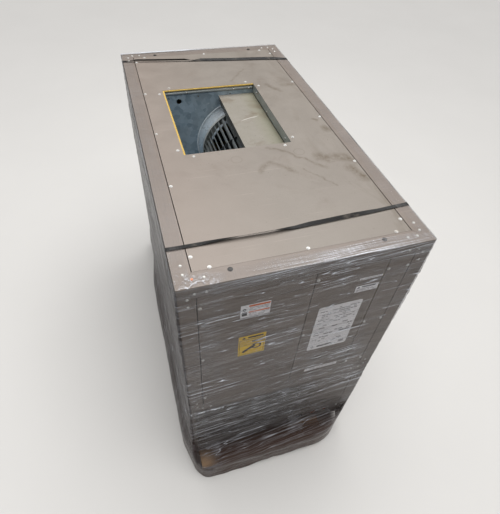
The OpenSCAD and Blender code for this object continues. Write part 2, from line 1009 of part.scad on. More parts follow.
module cooling_coil() {
    plate = 2;
    color(steel)
        coil_frame() {
            translate([-coil_w / 2, 0, 0])
                cube([coil_w, coil_l, coil_t]);
            for (sx = [-1, 1])
                translate([sx * (coil_w / 2 + plate / 2) - plate / 2, -6, -6])
                    cube([plate, coil_l + 12, coil_t + 12]);
        }
}

// Socket end of a refrigerant pipe at the panel, with its riser to the coil
module pipe_stub(pipe) {
    outer = pipe[1] + pipe[2];
    run = 70;
    rise = 50;
    translate([pipe[0], -half_d, pipe_z])
        difference() {
            union() {
                rotate([-90, 0, 0])
                    cylinder(r = outer, h = run);
                translate([0, run, 0])
                    cylinder(r = outer, h = rise);
                translate([0, run, 0])
                    sphere(r = outer);
                translate([0, run, rise])
                    sphere(r = outer);
                translate([0, run, rise])
                    rotate([-90, 0, 0])
                        cylinder(r = outer, h = 62);
            }
            translate([0, -1, 0])
                rotate([-90, 0, 0])
                    cylinder(r = pipe[1], h = socket_l + 1);
        }
}

// Return bends at both ends of the coil, and the suction and liquid connections
module coil_tubes() {
    tube_r = 4.8;
    pitch = 48;
    bend_r = 16;
    color([0.72, 0.45, 0.3]) {
        coil_frame()
            for (sx = [-1, 1], i = [0 : 14])
                translate([sx * (coil_w / 2 + 2), 36 + i * pitch, coil_t / 2])
                    rotate([0, 0, -sx * 90])
                        rotate_extrude(angle = 180)
                            translate([bend_r, 0])
                                circle(r = tube_r, $fn = 24);
        pipe_stub(suction_pipe);
        pipe_stub(liquid_pipe);
    }
}

// Pan under the coil's low end, on two feet, with its threaded drain socket at the panel
module drain_pan() {
    wall = 2;
    depth = 36;
    length = 250;
    y0 = coil_y - 60;
    z0 = pipe_z - 19;
    outer = drain_pipe[1] + drain_pipe[2];
    color(black)
        difference() {
            union() {
                difference() {
                    translate([-coil_w / 2 - 30, y0, z0])
                        cube([coil_w + 60, length, depth]);
                    translate([-coil_w / 2 - 30 + wall, y0 + wall, z0 + wall])
                        cube([coil_w + 60 - 2 * wall, length - 2 * wall, depth]);
                }
                for (sx = [-1, 1])
                    translate([sx * 220 - 10, y0 + 10, base_z + sheet_t])
                        cube([20, length - 20, z0 - base_z - sheet_t]);
                translate([drain_pipe[0], -half_d, pipe_z])
                    rotate([-90, 0, 0])
                        cylinder(r = outer, h = y0 + half_d + wall);
            }
            translate([drain_pipe[0], -half_d - 1, pipe_z])
                rotate([-90, 0, 0])
                    cylinder(r = drain_pipe[1], h = socket_l + 1);
            translate([drain_pipe[0], -half_d, pipe_z])
                rotate([-90, 0, 0])
                    cylinder(r = drain_pipe[1] - 4, h = y0 + half_d + wall + 1);
        }
}

filter_y = half_d - 110;
filter_t = 25;

// Two pleated filters side by side behind the return opening
module air_filters() {
    half = 286;
    border = 18;
    high = return_h + 20;
    pleats = 14;
    pitch = (half - 2 * border) / pleats;
    color([0.85, 0.86, 0.84])
        for (sx = [-1, 1])
            translate([sx * (half / 2 + 0.5) - half / 2, filter_y, return_low - 10]) {
                difference() {
                    cube([half, filter_t, high]);
                    translate([border, -1, border])
                        cube([half - 2 * border, filter_t + 2, high - 2 * border]);
                }
                translate([border, 0, border])
                    linear_extrude(high - 2 * border)
                        polygon(concat(
                            [for (i = [0 : 2 * pleats]) [i * pitch / 2, (i % 2) * (filter_t - 7) + 1]],
                            [for (i = [2 * pleats : -1 : 0]) [i * pitch / 2, (i % 2) * (filter_t - 7) + 4]]));
            }
}

// Channels above and below the filters
module filter_rack() {
    width = filter_t + 8;
    t = 1.5;
    lip = 16;
    low = return_low - 10 - t - hair;
    high = return_low + return_h + 10 + hair;
    color(galvanised)
        for (z = [low, high], up = z == low ? 1 : -1) {
            translate([-300, filter_y - 4, z])
                cube([600, width, t]);
            for (y = [filter_y - 4, filter_y - 4 + width - t])
                translate([-300, y, up > 0 ? z : z - lip + t])
                    cube([600, t, lip]);
        }
}

// Stickers on the front face: position of the lower left corner, size
module sticker(x, z, w, h) {
    on_side(0)
        translate([x, z, 0])
            cube([w, h, 0.3]);
}

module nameplate() {
    color([0.85, 0.85, 0.83])
        sticker(55, top_z - 0.652 * cabinet_w, 155, 267);
}

module stickers() {
    color(yellow) {
        sticker(-206, top_z - 0.247 * cabinet_w, 91, 62);
        sticker(-206, top_z - 0.54 * cabinet_w, 91, 118);
        sticker(166, top_z - 0.163 * cabinet_w, 78, 9);
        sticker(164, top_z - 0.244 * cabinet_w, 79, 32);
        sticker(74, top_z - 0.875 * cabinet_w, 138, 22);
        sticker(-190, joint_z - 100, 122, 30);
    }
}

module skid_runners() {
    length = cabinet_d + 2 * skid_reach;
    left = -skid_left - skid_w / 2;
    color(wood)
        for (x = [left, -0.8 * runner_w, left + skid_w - runner_w])
            translate([x, -length / 2, 0])
                cube([runner_w, length, runner_h]);
}

module deck_boards() {
    count = 9;
    board_w = 170;
    length = cabinet_d + 2 * skid_reach;
    pitch = (length - board_w) / (count - 1);
    color(wood)
        for (i = [0 : count - 1])
            translate([-skid_left - skid_w / 2, -length / 2 + i * pitch, runner_h])
                cube([skid_w, board_w, deck_t]);
}

strap_t = 0.8;
front_strap_y = [-576, -559];
rear_strap_y = [626, 544];

// One strap: across the top between its two sides, and down each side to the cabinet's foot
module strap(ends) {
    foot_z = base_z + 2;
    out = half_w + hair;
    along = strap_w / 2;
    top = top_z + 2.9;
    translate([0, 0, top])
        linear_extrude(strap_t)
            polygon([[-out - strap_t, ends[0] - along], [out + strap_t, ends[1] - along],
                     [out + strap_t, ends[1] + along], [-out - strap_t, ends[0] + along]]);
    for (sx = [-1, 1])
        translate([sx * (out + strap_t / 2) - strap_t / 2, ends[sx < 0 ? 0 : 1] - along, foot_z])
            cube([strap_t, strap_w, top - foot_z + strap_t]);
}

module shipping_straps() {
    color(black) {
        strap(front_strap_y);
        strap(rear_strap_y);
    }
}

// Crimped steel seals over the straps on the right side
module strap_seals() {
    reach = 32;
    color(steel)
        for (y = [front_strap_y[1], rear_strap_y[1]])
            translate([half_w + hair + strap_t, y - strap_w / 2 - 1, joint_z + 130])
                cube([1, strap_w + 2, reach]);
}

film_t = 0.6;
film_low = 5;
film_bend = 270;
film_foot = base_z + 4;

// Film sloping from the wall out to the skid's edge, and straight down to near the floor
module film_skirt(half_high, low_from, low_to, out_high, out_low) {
    ends = [[film_bend, -half_high, half_high, out_high], [film_foot, low_from, low_to, out_low]];
    hull()
        for (end = ends)
            translate([end[1], -end[3], end[0]])
                cube([end[2] - end[1], film_t, 0.01]);
    translate([low_from, -out_low, film_low])
        cube([low_to - low_from, film_t, film_foot - film_low - hair]);
}

module stretch_film() {
    across = half_w + film_gap;
    deep = half_d + film_gap;
    low_right = half_w + film_flare;
    low_left = half_w + film_bell;
    low_deep = half_d + film_reach;
    high = top_z + film_gap + hair;
    lap = 44;
    color([0.8, 0.8, 0.82, 0.35]) {
        for (turn = [0, 180])
            rotate([0, 0, turn]) {
                low_from = turn == 0 ? -low_left : -low_right;
                low_to = turn == 0 ? low_right : low_left;
                translate([-across, -deep - film_t, film_bend + hair])
                    cube([2 * across, film_t, high - film_bend - 2 * hair]);
                translate([-across, -deep, high])
                    cube([2 * across, lap, film_t]);
                film_skirt(across, low_from + 1, low_to - 1, deep + film_t, low_deep + film_t);
            }
        for (turn = [90, 270])
            rotate([0, 0, turn]) {
                out_low = film_t + (turn == 90 ? low_right : low_left);
                translate([-deep, -across - film_t, film_bend + hair])
                    cube([2 * deep, film_t, high - film_bend - 2 * hair]);
                translate([-deep + lap + hair, -across, high])
                    cube([2 * (deep - lap - hair), lap - 6, film_t]);
                film_skirt(deep - 1, 1 - low_deep, low_deep - 1, across + film_t, out_low);
            }
    }
}

front_top_rail();
rear_top_rail();
side_top_rails();
module_joint_rails();
base_rails();
upper_corner_posts();
lower_corner_posts();
corner_gussets();
top_panel();
blower_access_panel();
control_panel_cover();
filler_panel();
coil_access_panel();
piping_panel();
upper_side_panels();
lower_side_panels();
rear_panel();
return_panel();
bottom_panel();
hole_plugs();
corner_rivets();
cabinet_screws();
wall_insulation();
top_insulation();
outlet_flanges();
opening_gasket();
scroll_sheet();
front_side_plate();
rear_side_plate();
cutoff_plate();
inlet_rings();
bearing_supports();
blower_bearings();
wheel_blades();
wheel_rims();
wheel_center_plate();
wheel_hub();
blower_shaft();
blower_pulley();
drive_belt();
motor_body();
motor_shaft();
motor_pulley();
motor_base();
support_rails();
control_box();
contactor();
cooling_coil();
coil_tubes();
drain_pan();
air_filters();
filter_rack();
nameplate();
stickers();
skid_runners();
deck_boards();
shipping_straps();
strap_seals();
stretch_film();
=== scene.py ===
"""Vertical air handling unit on its skid, under stretch film, its blower seen through the open top."""

import json
import math
import random

import bmesh
import bpy
import numpy as np
from mathutils import Matrix, Vector, noise


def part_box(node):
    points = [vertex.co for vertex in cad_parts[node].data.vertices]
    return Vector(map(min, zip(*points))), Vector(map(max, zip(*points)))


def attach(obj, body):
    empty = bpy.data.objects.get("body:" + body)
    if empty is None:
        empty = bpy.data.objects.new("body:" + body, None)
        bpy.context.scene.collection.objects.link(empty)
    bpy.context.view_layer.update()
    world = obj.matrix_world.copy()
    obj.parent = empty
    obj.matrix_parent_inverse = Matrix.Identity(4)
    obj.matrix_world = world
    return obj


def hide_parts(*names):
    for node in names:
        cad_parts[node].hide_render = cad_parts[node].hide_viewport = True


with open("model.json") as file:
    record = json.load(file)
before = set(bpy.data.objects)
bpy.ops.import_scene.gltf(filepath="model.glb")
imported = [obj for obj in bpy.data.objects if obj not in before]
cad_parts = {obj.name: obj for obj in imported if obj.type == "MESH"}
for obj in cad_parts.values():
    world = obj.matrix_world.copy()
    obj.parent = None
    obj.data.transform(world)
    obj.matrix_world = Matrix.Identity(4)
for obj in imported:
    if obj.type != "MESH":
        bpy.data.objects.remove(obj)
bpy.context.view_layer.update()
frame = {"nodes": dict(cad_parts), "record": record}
scene = bpy.context.scene

# ---------------------------------------------------------------- places
panel_low, panel_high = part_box("top_panel")
TOP = panel_high.z
lower_low, lower_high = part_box("lower_side_panels")
base_low, base_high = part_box("base_rails")
HALF_W = base_high.x
HALF_D = base_high.y
upper_low, upper_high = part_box("upper_side_panels")
JOINT = (lower_high.z + upper_low.z) / 2
runner_low, runner_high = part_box("skid_runners")
deck_low, deck_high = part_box("deck_boards")
film_low, film_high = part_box("stretch_film")
wheel_low, wheel_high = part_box("wheel_rims")
AXIS = (wheel_low + wheel_high) / 2


# ---------------------------------------------------------------- camera
def place_camera():
    """The camera stands above the front left edge and looks down into the opening."""
    data = bpy.data.cameras.new("camera")
    data.lens = 28.83
    data.sensor_width = 36
    data.clip_start = 0.02
    camera = bpy.data.objects.new("camera", data)
    right = Vector((0.955299, -0.290335, 0.055765))
    up = Vector((0.179405, 0.719222, 0.671218))
    back = Vector((-0.234985, -0.631210, 0.739159))
    turn = Matrix((right, up, back)).transposed().to_4x4()
    camera.matrix_world = Matrix.Translation((-0.428, -1.355, 2.169)) @ turn
    scene.collection.objects.link(camera)
    scene.camera = camera


def add_light(name, place, target, size, watts, tint):
    """One square softbox that faces a point."""
    data = bpy.data.lights.new(name, "AREA")
    data.shape = "RECTANGLE"
    data.size, data.size_y = size
    data.energy = watts
    data.color = tint
    lamp = bpy.data.objects.new(name, data)
    lamp.location = place
    facing = Vector(target) - Vector(place)
    lamp.rotation_euler = facing.to_track_quat("-Z", "Y").to_euler()
    scene.collection.objects.link(lamp)


# ---------------------------------------------------------------- materials
class Finish:
    """A material, with short ways to add and join its nodes."""

    def __init__(self, name, **settings):
        self.material = bpy.data.materials.new(name)
        self.material.use_nodes = True
        self.tree = self.material.node_tree
        self.shader = self.tree.nodes["Principled BSDF"]
        self.place = self.tree.nodes.new("ShaderNodeTexCoord").outputs["Object"]
        for key, value in settings.items():
            self.shader.inputs[key.replace("_", " ")].default_value = value

    def node(self, kind, inputs=(), **settings):
        made = self.tree.nodes.new("ShaderNode" + kind)
        for key, value in settings.items():
            setattr(made, key, value)
        for key, value in dict(inputs).items():
            if isinstance(value, bpy.types.NodeSocket):
                self.tree.links.new(value, made.inputs[key])
            else:
                made.inputs[key].default_value = value
        return made

    def stretched(self, scale, turn=(0, 0, 0)):
        inputs = {"Vector": self.place, "Scale": scale, "Rotation": turn}
        return self.node("Mapping", inputs).outputs[0]

    def noise(self, scale, detail=4, rough=0.55, where=None, warp=0):
        inputs = {
            "Vector": where or self.place,
            "Scale": scale,
            "Detail": detail,
            "Roughness": rough,
            "Distortion": warp,
        }
        return self.node("TexNoise", inputs).outputs["Fac"]

    def cells(self, scale, feature="F1", out="Color", where=None):
        inputs = {"Vector": where or self.place, "Scale": scale}
        return self.node("TexVoronoi", inputs, feature=feature).outputs[out]

    def sums(self, operation, a, b=0.0, clamp=False):
        inputs = {0: a, 1: b}
        made = self.node("Math", inputs, operation=operation, use_clamp=clamp)
        return made.outputs[0]

    def span(self, value, low, high, to_low=0.0, to_high=1.0):
        inputs = {0: value, 1: low, 2: high, 3: to_low, 4: to_high}
        return self.node("MapRange", inputs).outputs[0]

    def mix(self, factor, a, b):
        made = self.node("Mix", data_type="RGBA")
        for index, value in ((0, factor), (6, a), (7, b)):
            if isinstance(value, bpy.types.NodeSocket):
                self.tree.links.new(value, made.inputs[index])
            else:
                made.inputs[index].default_value = value
        return made.outputs[2]

    def axes(self):
        return self.node("SeparateXYZ", {0: self.place}).outputs

    def near(self, point, reach):
        """1 at a point, falling to 0 at reach from it."""
        far = self.node("VectorMath", {0: self.place, 1: point}, operation="DISTANCE")
        return self.span(far.outputs["Value"], 0, reach, 1, 0)

    def bump(self, height, depth, strength=1.0, normal=None):
        inputs = {"Height": height, "Distance": depth, "Strength": strength}
        if normal:
            inputs["Normal"] = normal
        return self.node("Bump", inputs).outputs[0]

    def join(self, **links):
        for key, socket in links.items():
            self.tree.links.new(socket, self.shader.inputs[key.replace("_", " ")])
        return self


def rgb(red, green, blue):
    """A colour picked on the usual 0 to 255 scale, as the shader needs it."""
    line = [(c / 255) ** 2.2 for c in (red, green, blue)]
    return (*line, 1)


def paint(name, base, dark, dirt=0.35, dirt_colour=rgb(84, 64, 46)):
    """Satin coil paint: soft mottling, fine orange peel, dust and hairline scratches."""
    made = Finish(name, Metallic=0.15, Specular_IOR_Level=0.45)
    tone = made.mix(made.noise(3.2, 5), base, dark)
    flecks = made.span(made.noise(210, 2), 0.62, 0.74)
    tone = made.mix(made.sums("MULTIPLY", flecks, 0.25), tone, rgb(88, 78, 68))
    patches = made.span(made.noise(5.5, 7, 0.68, warp=0.6), 0.56, 0.74, 0, dirt)
    tone = made.mix(patches, tone, dirt_colour)
    scratch = made.noise(1, 3, where=made.stretched((4, 320, 90), (0, 0, 0.6)))
    lines = made.span(scratch, 0.69, 0.72, 0, 0.3)
    tone = made.mix(lines, tone, rgb(176, 168, 158))
    rough = made.span(made.noise(14, 5), 0.3, 0.7, 0.34, 0.52)
    peel = made.bump(made.noise(430, 2), 0.00025, 0.35)
    wave = made.bump(made.noise(7, 3), 0.0035, 0.5, peel)
    return made.join(Base_Color=tone, Roughness=rough, Normal=wave), tone


def top_paint():
    """The top panel's paint: brown smears, thin curved stains and round marks near the opening."""
    made, tone = paint("paint_top", rgb(136, 130, 123), rgb(127, 120, 113), 0.22)
    low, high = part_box("top_panel")
    middle = (low + high) / 2
    x, y, _ = made.axes()
    flat = made.node("CombineXYZ", {0: x, 1: y, 2: 0.0}).outputs[0]
    wander = made.node("TexNoise", {"Vector": flat, "Scale": 26.0, "Detail": 4.0}).outputs["Color"]
    shift = made.node("VectorMath", {0: wander, 1: (0.5, 0.5, 0.5)}, operation="SUBTRACT").outputs[0]
    shift = made.node("VectorMath", {0: shift, 1: (0.034, 0.034, 0)}, operation="MULTIPLY").outputs[0]
    here = made.node("VectorMath", {0: flat, 1: shift}, operation="ADD").outputs[0]

    def stroke(start, end, width):
        """1 on a line between two places, counted from the panel's middle, and 0 at its width."""
        start, end = Vector((*start, 0)), Vector((*end, 0))
        way = end - start
        tail = middle.xy.to_3d() + start
        off = made.node("VectorMath", {0: here, 1: tail}, operation="SUBTRACT").outputs[0]
        along = made.node("VectorMath", {0: off, 1: way / way.length_squared}, operation="DOT_PRODUCT")
        along = made.sums("ADD", along.outputs["Value"], 0.0, True)
        foot = made.node("VectorMath", {0: way, "Scale": along}, operation="SCALE").outputs[0]
        far = made.node("VectorMath", {0: off, 1: foot}, operation="DISTANCE").outputs["Value"]
        return made.span(far, 0, width, 1, 0)

    def path(places, width):
        lines = stroke(places[0], places[1], width)
        for start, end in zip(places[1:], places[2:]):
            lines = made.sums("MAXIMUM", lines, stroke(start, end, width))
        return lines

    stain = path([(-0.023, -0.295), (-0.005, -0.27), (0.025, -0.256), (0.054, -0.275),
                  (0.094, -0.316)], 0.014)
    marks = made.sums("MULTIPLY", stain, 0.5)
    for places, width, depth in (
        ([(0.045, -0.165), (0.097, -0.198), (0.153, -0.259), (0.211, -0.322)], 0.008, 0.55),
        ([(0.127, -0.311), (0.157, -0.35), (0.202, -0.419)], 0.006, 0.45),
        ([(0.053, 0.364), (0.142, 0.47)], 0.008, 0.4),
        ([(0.196, 0.305), (0.222, 0.266), (0.24, 0.24)], 0.014, 0.5),
        ([(0.27, 0.29), (0.31, 0.287)], 0.02, 0.45),
        ([(0.212, -0.255), (0.232, -0.27)], 0.034, 0.85),
        ([(0.27, -0.27), (0.312, -0.285)], 0.034, 0.8),
        ([(0.29, -0.34), (0.312, -0.4)], 0.03, 0.8),
        ([(0.305, -0.075), (0.314, -0.1)], 0.02, 0.8),
        ([(0.289, -0.012), (0.296, -0.022)], 0.011, 0.9),
    ):
        marks = made.sums("MAXIMUM", marks, made.sums("MULTIPLY", path(places, width), depth))
    broken = made.span(made.noise(60, 6, 0.75), 0.36, 0.6, 0.15, 1)
    marks = made.sums("MULTIPLY", marks, broken)
    for ring_x, ring_y in ((-0.081, -0.212), (0.15, -0.212)):
        centre = middle.xy.to_3d() + Vector((ring_x, ring_y, 0))
        far = made.node("VectorMath", {0: flat, 1: centre}, operation="DISTANCE").outputs["Value"]
        off = made.sums("ABSOLUTE", made.sums("SUBTRACT", far, 0.019))
        marks = made.sums("MAXIMUM", marks, made.span(off, 0.0005, 0.0025, 0.22, 0))
    right = made.span(x, 0.1, high.x, 0.0, 1.0)
    streak = made.noise(1, 7, 0.7, made.stretched((9, 3.2, 1), (0, 0, 0.55)), 0.8)
    smear = made.sums("MULTIPLY", made.span(streak, 0.47, 0.62), right)
    marks = made.sums("ADD", marks, made.sums("MULTIPLY", smear, 0.3), True)
    tone = made.mix(marks, tone, rgb(84, 72, 54))
    drips = made.span(made.cells(46, "F1", "Distance"), 0.05, 0.09, 1, 0)
    spots = made.sums("MULTIPLY", drips, made.span(made.noise(7, 2), 0.52, 0.6))
    tone = made.mix(made.sums("MULTIPLY", spots, 0.5), tone, rgb(72, 54, 38))
    pink = made.span(x, 0.0, low.x, 0, 0.4)
    tone = made.mix(pink, tone, rgb(142, 128, 120))
    return made.join(Base_Color=tone).material


def galvanised(name, base, dark, spangle=55, metal=0.35):
    """Zinc coated sheet with a grey crystal pattern and dull patches."""
    made = Finish(name, Metallic=metal)
    grain = made.node("RGBToBW", {0: made.cells(spangle)}).outputs[0]
    tone = made.mix(grain, dark, base)
    haze = made.span(made.noise(9, 5), 0.45, 0.68, 0, 0.6)
    tone = made.mix(haze, tone, rgb(146, 156, 162))
    spots = made.span(made.noise(90, 2), 0.68, 0.74, 0, 0.5)
    tone = made.mix(spots, tone, rgb(206, 214, 220))
    rough = made.span(grain, 0, 1, 0.3, 0.48)
    return made.join(
        Base_Color=tone, Roughness=rough, Normal=made.bump(made.noise(160, 3), 0.0004, 0.4)
    ).material


def flange_zinc():
    """The outlet's edge flanges: dull zinc with rust spots at the front end of the right one."""
    made = Finish("flange_zinc", Metallic=0.25)
    low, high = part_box("outlet_flanges")
    tone = made.mix(made.noise(24, 5), rgb(176, 182, 180), rgb(136, 144, 146))
    haze = made.span(made.noise(7, 5), 0.45, 0.7, 0, 0.5)
    tone = made.mix(haze, tone, rgb(126, 128, 116))
    for along, down, reach in ((0.012, 0.012, 0.009), (0.21, 0.02, 0.004), (0.42, 0.014, 0.005)):
        spot = made.near((high.x - 0.018, low.y + along, TOP - down), reach)
        tone = made.mix(made.span(spot, 0.3, 0.6, 0, 0.9), tone, rgb(176, 108, 48))
    rough = made.span(made.noise(30, 3), 0.3, 0.7, 0.3, 0.5)
    return made.join(
        Base_Color=tone, Roughness=rough, Normal=made.bump(made.noise(160, 3), 0.0004, 0.4)
    ).material


def bell_zinc():
    """Spun inlet bells: smooth bright zinc with fine turning marks, and a painted highlight whitening their
    upper part.
    """
    made = Finish("bell_zinc", Metallic=0.25)
    marks = made.noise(30, 5, 0.6)
    tone = made.mix(marks, rgb(206, 220, 230), rgb(166, 182, 194))
    z = made.axes()[2]
    # Painted highlight: the zinc turns near white above the axis.
    top_highlight = made.span(made.sums("SUBTRACT", z, AXIS.z), 0.0, 0.2, 0.0, 0.75)
    tone = made.mix(top_highlight, tone, rgb(246, 250, 253))
    rough = made.span(marks, 0.3, 0.7, 0.2, 0.34)
    return made.join(
        Base_Color=tone, Roughness=rough, Normal=made.bump(made.noise(220, 3), 0.0003, 0.4)
    ).material


def dusty_steel():
    """The cut-off plate: dust on zinc, soft brown stains, a green edge and one pale scratch."""
    made = Finish("dusty_steel", Metallic=0.1)
    low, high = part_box("cutoff_plate")
    middle = (low + high) / 2
    tone = made.mix(made.noise(15, 6, 0.6), rgb(136, 131, 124), rgb(122, 118, 108))
    x, y, _ = made.axes()
    edge = made.span(x, middle.x, high.x - 0.004, 0, 0.7)
    tone = made.mix(edge, tone, rgb(112, 112, 92))
    stains = made.span(made.noise(9, 7, 0.66, warp=0.5), 0.52, 0.68, 0, 0.55)
    tone = made.mix(stains, tone, rgb(92, 76, 58))
    specks = made.span(made.cells(60, "F1", "Distance"), 0.06, 0.12, 0.7, 0)
    tone = made.mix(specks, tone, rgb(78, 58, 42))
    wander = made.sums("MULTIPLY", made.noise(16, 2), 0.02)
    across = made.sums("ADD", made.sums("ADD", y, wander), made.sums("MULTIPLY", x, -0.35))
    off = made.sums("ABSOLUTE", made.sums("SUBTRACT", across, middle.y - middle.x * 0.35 + 0.035))
    line = made.span(off, 0.0008, 0.0022, 0.9, 0)
    reach = made.span(made.sums("ABSOLUTE", made.sums("SUBTRACT", x, middle.x)), 0.02, 0.045, 1, 0)
    tone = made.mix(made.sums("MULTIPLY", line, reach), tone, rgb(206, 204, 198))
    rough = made.span(made.noise(30, 3), 0.3, 0.7, 0.5, 0.75)
    return made.join(
        Base_Color=tone, Roughness=rough, Normal=made.bump(made.noise(240, 4), 0.0004, 0.5)
    ).material


def metal(name, base, dark, low, high, scale=30, brushed=(1, 1, 1), soil=None, shine=0.9):
    """Turned, cast or plated metal with fine marks, and soil in its hollows."""
    made = Finish(name, Metallic=shine)
    marks = made.noise(scale, 5, 0.6, made.stretched(brushed))
    tone = made.mix(marks, base, dark)
    if soil:
        grime = made.span(made.noise(26, 6, 0.7), 0.52, 0.7, 0, 0.7)
        tone = made.mix(grime, tone, soil)
    rough = made.span(marks, 0.3, 0.7, low, high)
    fine = made.bump(made.noise(scale * 9, 3), 0.0003, 0.5)
    return made.join(Base_Color=tone, Roughness=rough, Normal=fine).material


def wheel_zinc():
    """Zinc of the wheel: bright at the outer edges of the blades, with painted shade darkening it towards the
    inside of the wheel.
    """
    made = Finish("wheel_zinc", Metallic=0.4)
    marks = made.noise(40, 5, 0.6)
    tone = made.mix(marks, rgb(204, 210, 210), rgb(150, 156, 156))
    offset = made.node("VectorMath", {0: made.place, 1: (AXIS.x, 0, AXIS.z)}, operation="SUBTRACT")
    across = made.node("VectorMath", {0: offset.outputs[0], 1: (1, 0, 1)}, operation="MULTIPLY")
    radius = made.node("VectorMath", {0: across.outputs[0]}, operation="LENGTH").outputs["Value"]
    rim = wheel_high.x - AXIS.x
    # Painted shade: near black towards the blades' inner edges, where the inside of the wheel is in shade.
    inner_shade = made.span(radius, rim - 0.018, rim - 0.03)
    tone = made.mix(inner_shade, tone, rgb(26, 26, 26))
    grime = made.span(made.noise(26, 6, 0.7), 0.55, 0.72, 0, 0.5)
    tone = made.mix(grime, tone, rgb(98, 90, 78))
    rough = made.span(marks, 0.3, 0.7, 0.28, 0.44)
    fine = made.bump(made.noise(360, 3), 0.0003, 0.5)
    return made.join(Base_Color=tone, Roughness=rough, Normal=fine).material


def plastic(name, base, dark, low=0.35, high=0.55, ribs=None):
    """Moulded or rubber surface with a fine grain, optionally ribbed."""
    made = Finish(name)
    tone = made.mix(made.noise(60, 5), base, dark)
    dust = made.span(made.noise(18, 6, 0.7), 0.56, 0.75, 0, 0.35)
    tone = made.mix(dust, tone, rgb(150, 140, 128))
    rough = made.span(made.noise(40, 4), 0.3, 0.7, low, high)
    normal = made.bump(made.noise(700, 2), 0.0002, 0.6)
    if ribs:
        wave = made.node("TexWave", {"Vector": made.place, "Scale": ribs},
                         bands_direction="DIAGONAL")
        normal = made.bump(wave.outputs["Fac"], 0.0006, 0.9, normal)
    return made.join(Base_Color=tone, Roughness=rough, Normal=normal).material


def fibre():
    """Yellow glass wool: tangled threads with pale and dark strands."""
    made = Finish("glass_wool", Roughness=0.92, Sheen_Weight=0.25)
    threads = made.noise(1, 6, 0.75, made.stretched((520, 520, 900)), 2.5)
    tone = made.mix(made.span(threads, 0.35, 0.65), rgb(122, 92, 34), rgb(232, 196, 92))
    tone = made.mix(made.span(made.noise(24, 4), 0.5, 0.7, 0, 0.5), tone, rgb(186, 160, 96))
    return made.join(Base_Color=tone, Normal=made.bump(threads, 0.0014, 0.9)).material


def wood(name, along):
    """Rough sawn pine: grain along the board, knots, saw marks and grey weathering."""
    made = Finish(name)
    stretch = (3, 46, 46) if along == "x" else (46, 3, 46)
    grain = made.noise(1, 7, 0.62, made.stretched(stretch), 1.1)
    tone = made.mix(made.span(grain, 0.34, 0.68), rgb(186, 148, 108), rgb(122, 88, 60))
    # Lighter towards the front left corner of the runners.
    lighter_corner = made.near((runner_low.x + 0.03, runner_low.y + 0.03, deck_high.z), 0.12)
    tone = made.mix(made.span(lighter_corner, 0.1, 0.6, 0, 0.5), tone, rgb(214, 176, 128))
    saw = (260, 6, 6) if along == "x" else (6, 260, 6)
    cuts = made.noise(1, 2, 0.5, made.stretched(saw))
    tone = made.mix(made.span(cuts, 0.55, 0.75, 0, 0.3), tone, rgb(104, 74, 48))
    knots = made.span(made.cells(4.5, "F1", "Distance"), 0.05, 0.11, 0.9, 0)
    tone = made.mix(knots, tone, rgb(72, 44, 26))
    grey = made.span(made.noise(2.4, 4), 0.45, 0.72, 0, 0.5)
    tone = made.mix(grey, tone, rgb(140, 124, 106))
    rough = made.span(grain, 0.3, 0.7, 0.66, 0.86)
    cut = made.bump(cuts, 0.0009, 0.6)
    return made.join(
        Base_Color=tone, Roughness=rough, Normal=made.bump(grain, 0.0016, 0.8, cut)
    ).material


def fins():
    """Coil block: close aluminium fins with dull and bent patches."""
    made = Finish("coil_fins", Metallic=0.8)
    wave = made.node("TexWave", {"Vector": made.place, "Scale": 170}, bands_direction="X")
    lines = wave.outputs["Fac"]
    tone = made.mix(lines, rgb(96, 98, 100), rgb(206, 208, 208))
    bent = made.span(made.noise(30, 4), 0.58, 0.68, 0, 0.6)
    tone = made.mix(bent, tone, rgb(226, 226, 222))
    rough = made.span(made.noise(20, 3), 0.3, 0.7, 0.3, 0.5)
    return made.join(
        Base_Color=tone, Roughness=rough, Normal=made.bump(lines, 0.0012, 0.9)
    ).material


def media():
    """Pleated filter cloth: felted fibres with grey dust."""
    made = Finish("filter_media", Roughness=0.9, Sheen_Weight=0.2)
    felt = made.noise(380, 4, 0.7)
    tone = made.mix(felt, rgb(226, 224, 214), rgb(188, 188, 180))
    dust = made.span(made.noise(9, 5), 0.45, 0.7, 0, 0.6)
    tone = made.mix(dust, tone, rgb(134, 128, 118))
    return made.join(Base_Color=tone, Normal=made.bump(felt, 0.0006, 0.8)).material


def print_ink(name, ink, faded, low=0.35, high=0.5):
    """Label stock or ink: faint fading, rub marks and a paper grain."""
    made = Finish(name)
    tone = made.mix(made.span(made.noise(26, 5), 0.35, 0.75), ink, faded)
    rub = made.span(made.noise(1, 4, where=made.stretched((160, 30, 60))), 0.62, 0.72, 0, 0.3)
    tone = made.mix(rub, tone, rgb(206, 200, 190))
    rough = made.span(made.noise(40, 3), 0.3, 0.7, low, high)
    return made.join(
        Base_Color=tone, Roughness=rough, Normal=made.bump(made.noise(500, 2), 0.0001, 0.4)
    ).material


def rivet_metal():
    """Plated rivet heads. The one at the front left corner has orange sealer on it."""
    made = Finish("rivet_heads", Metallic=0.3)
    tone = made.mix(made.noise(120, 4), rgb(228, 228, 224), rgb(170, 170, 166))
    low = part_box("corner_rivets")[0]
    sealed = Vector((low.x * 0.875, low.y * 0.96, TOP))
    spot = made.span(made.near(sealed, 0.02), 0.45, 0.5)
    tone = made.mix(spot, tone, rgb(214, 116, 44))
    rough = made.span(made.noise(90, 3), 0.3, 0.7, 0.22, 0.4)
    return made.join(
        Base_Color=tone, Roughness=rough, Normal=made.bump(made.noise(600, 2), 0.0002, 0.5)
    ).material


# Soft tall reflections on the front: place across, height, and half width, in metres
PATCHES = ((0.015, 0.642, 0.060), (-0.271, 0.858, 0.030), (-0.100, 0.722, 0.030), (-0.296, 1.128, 0.022))


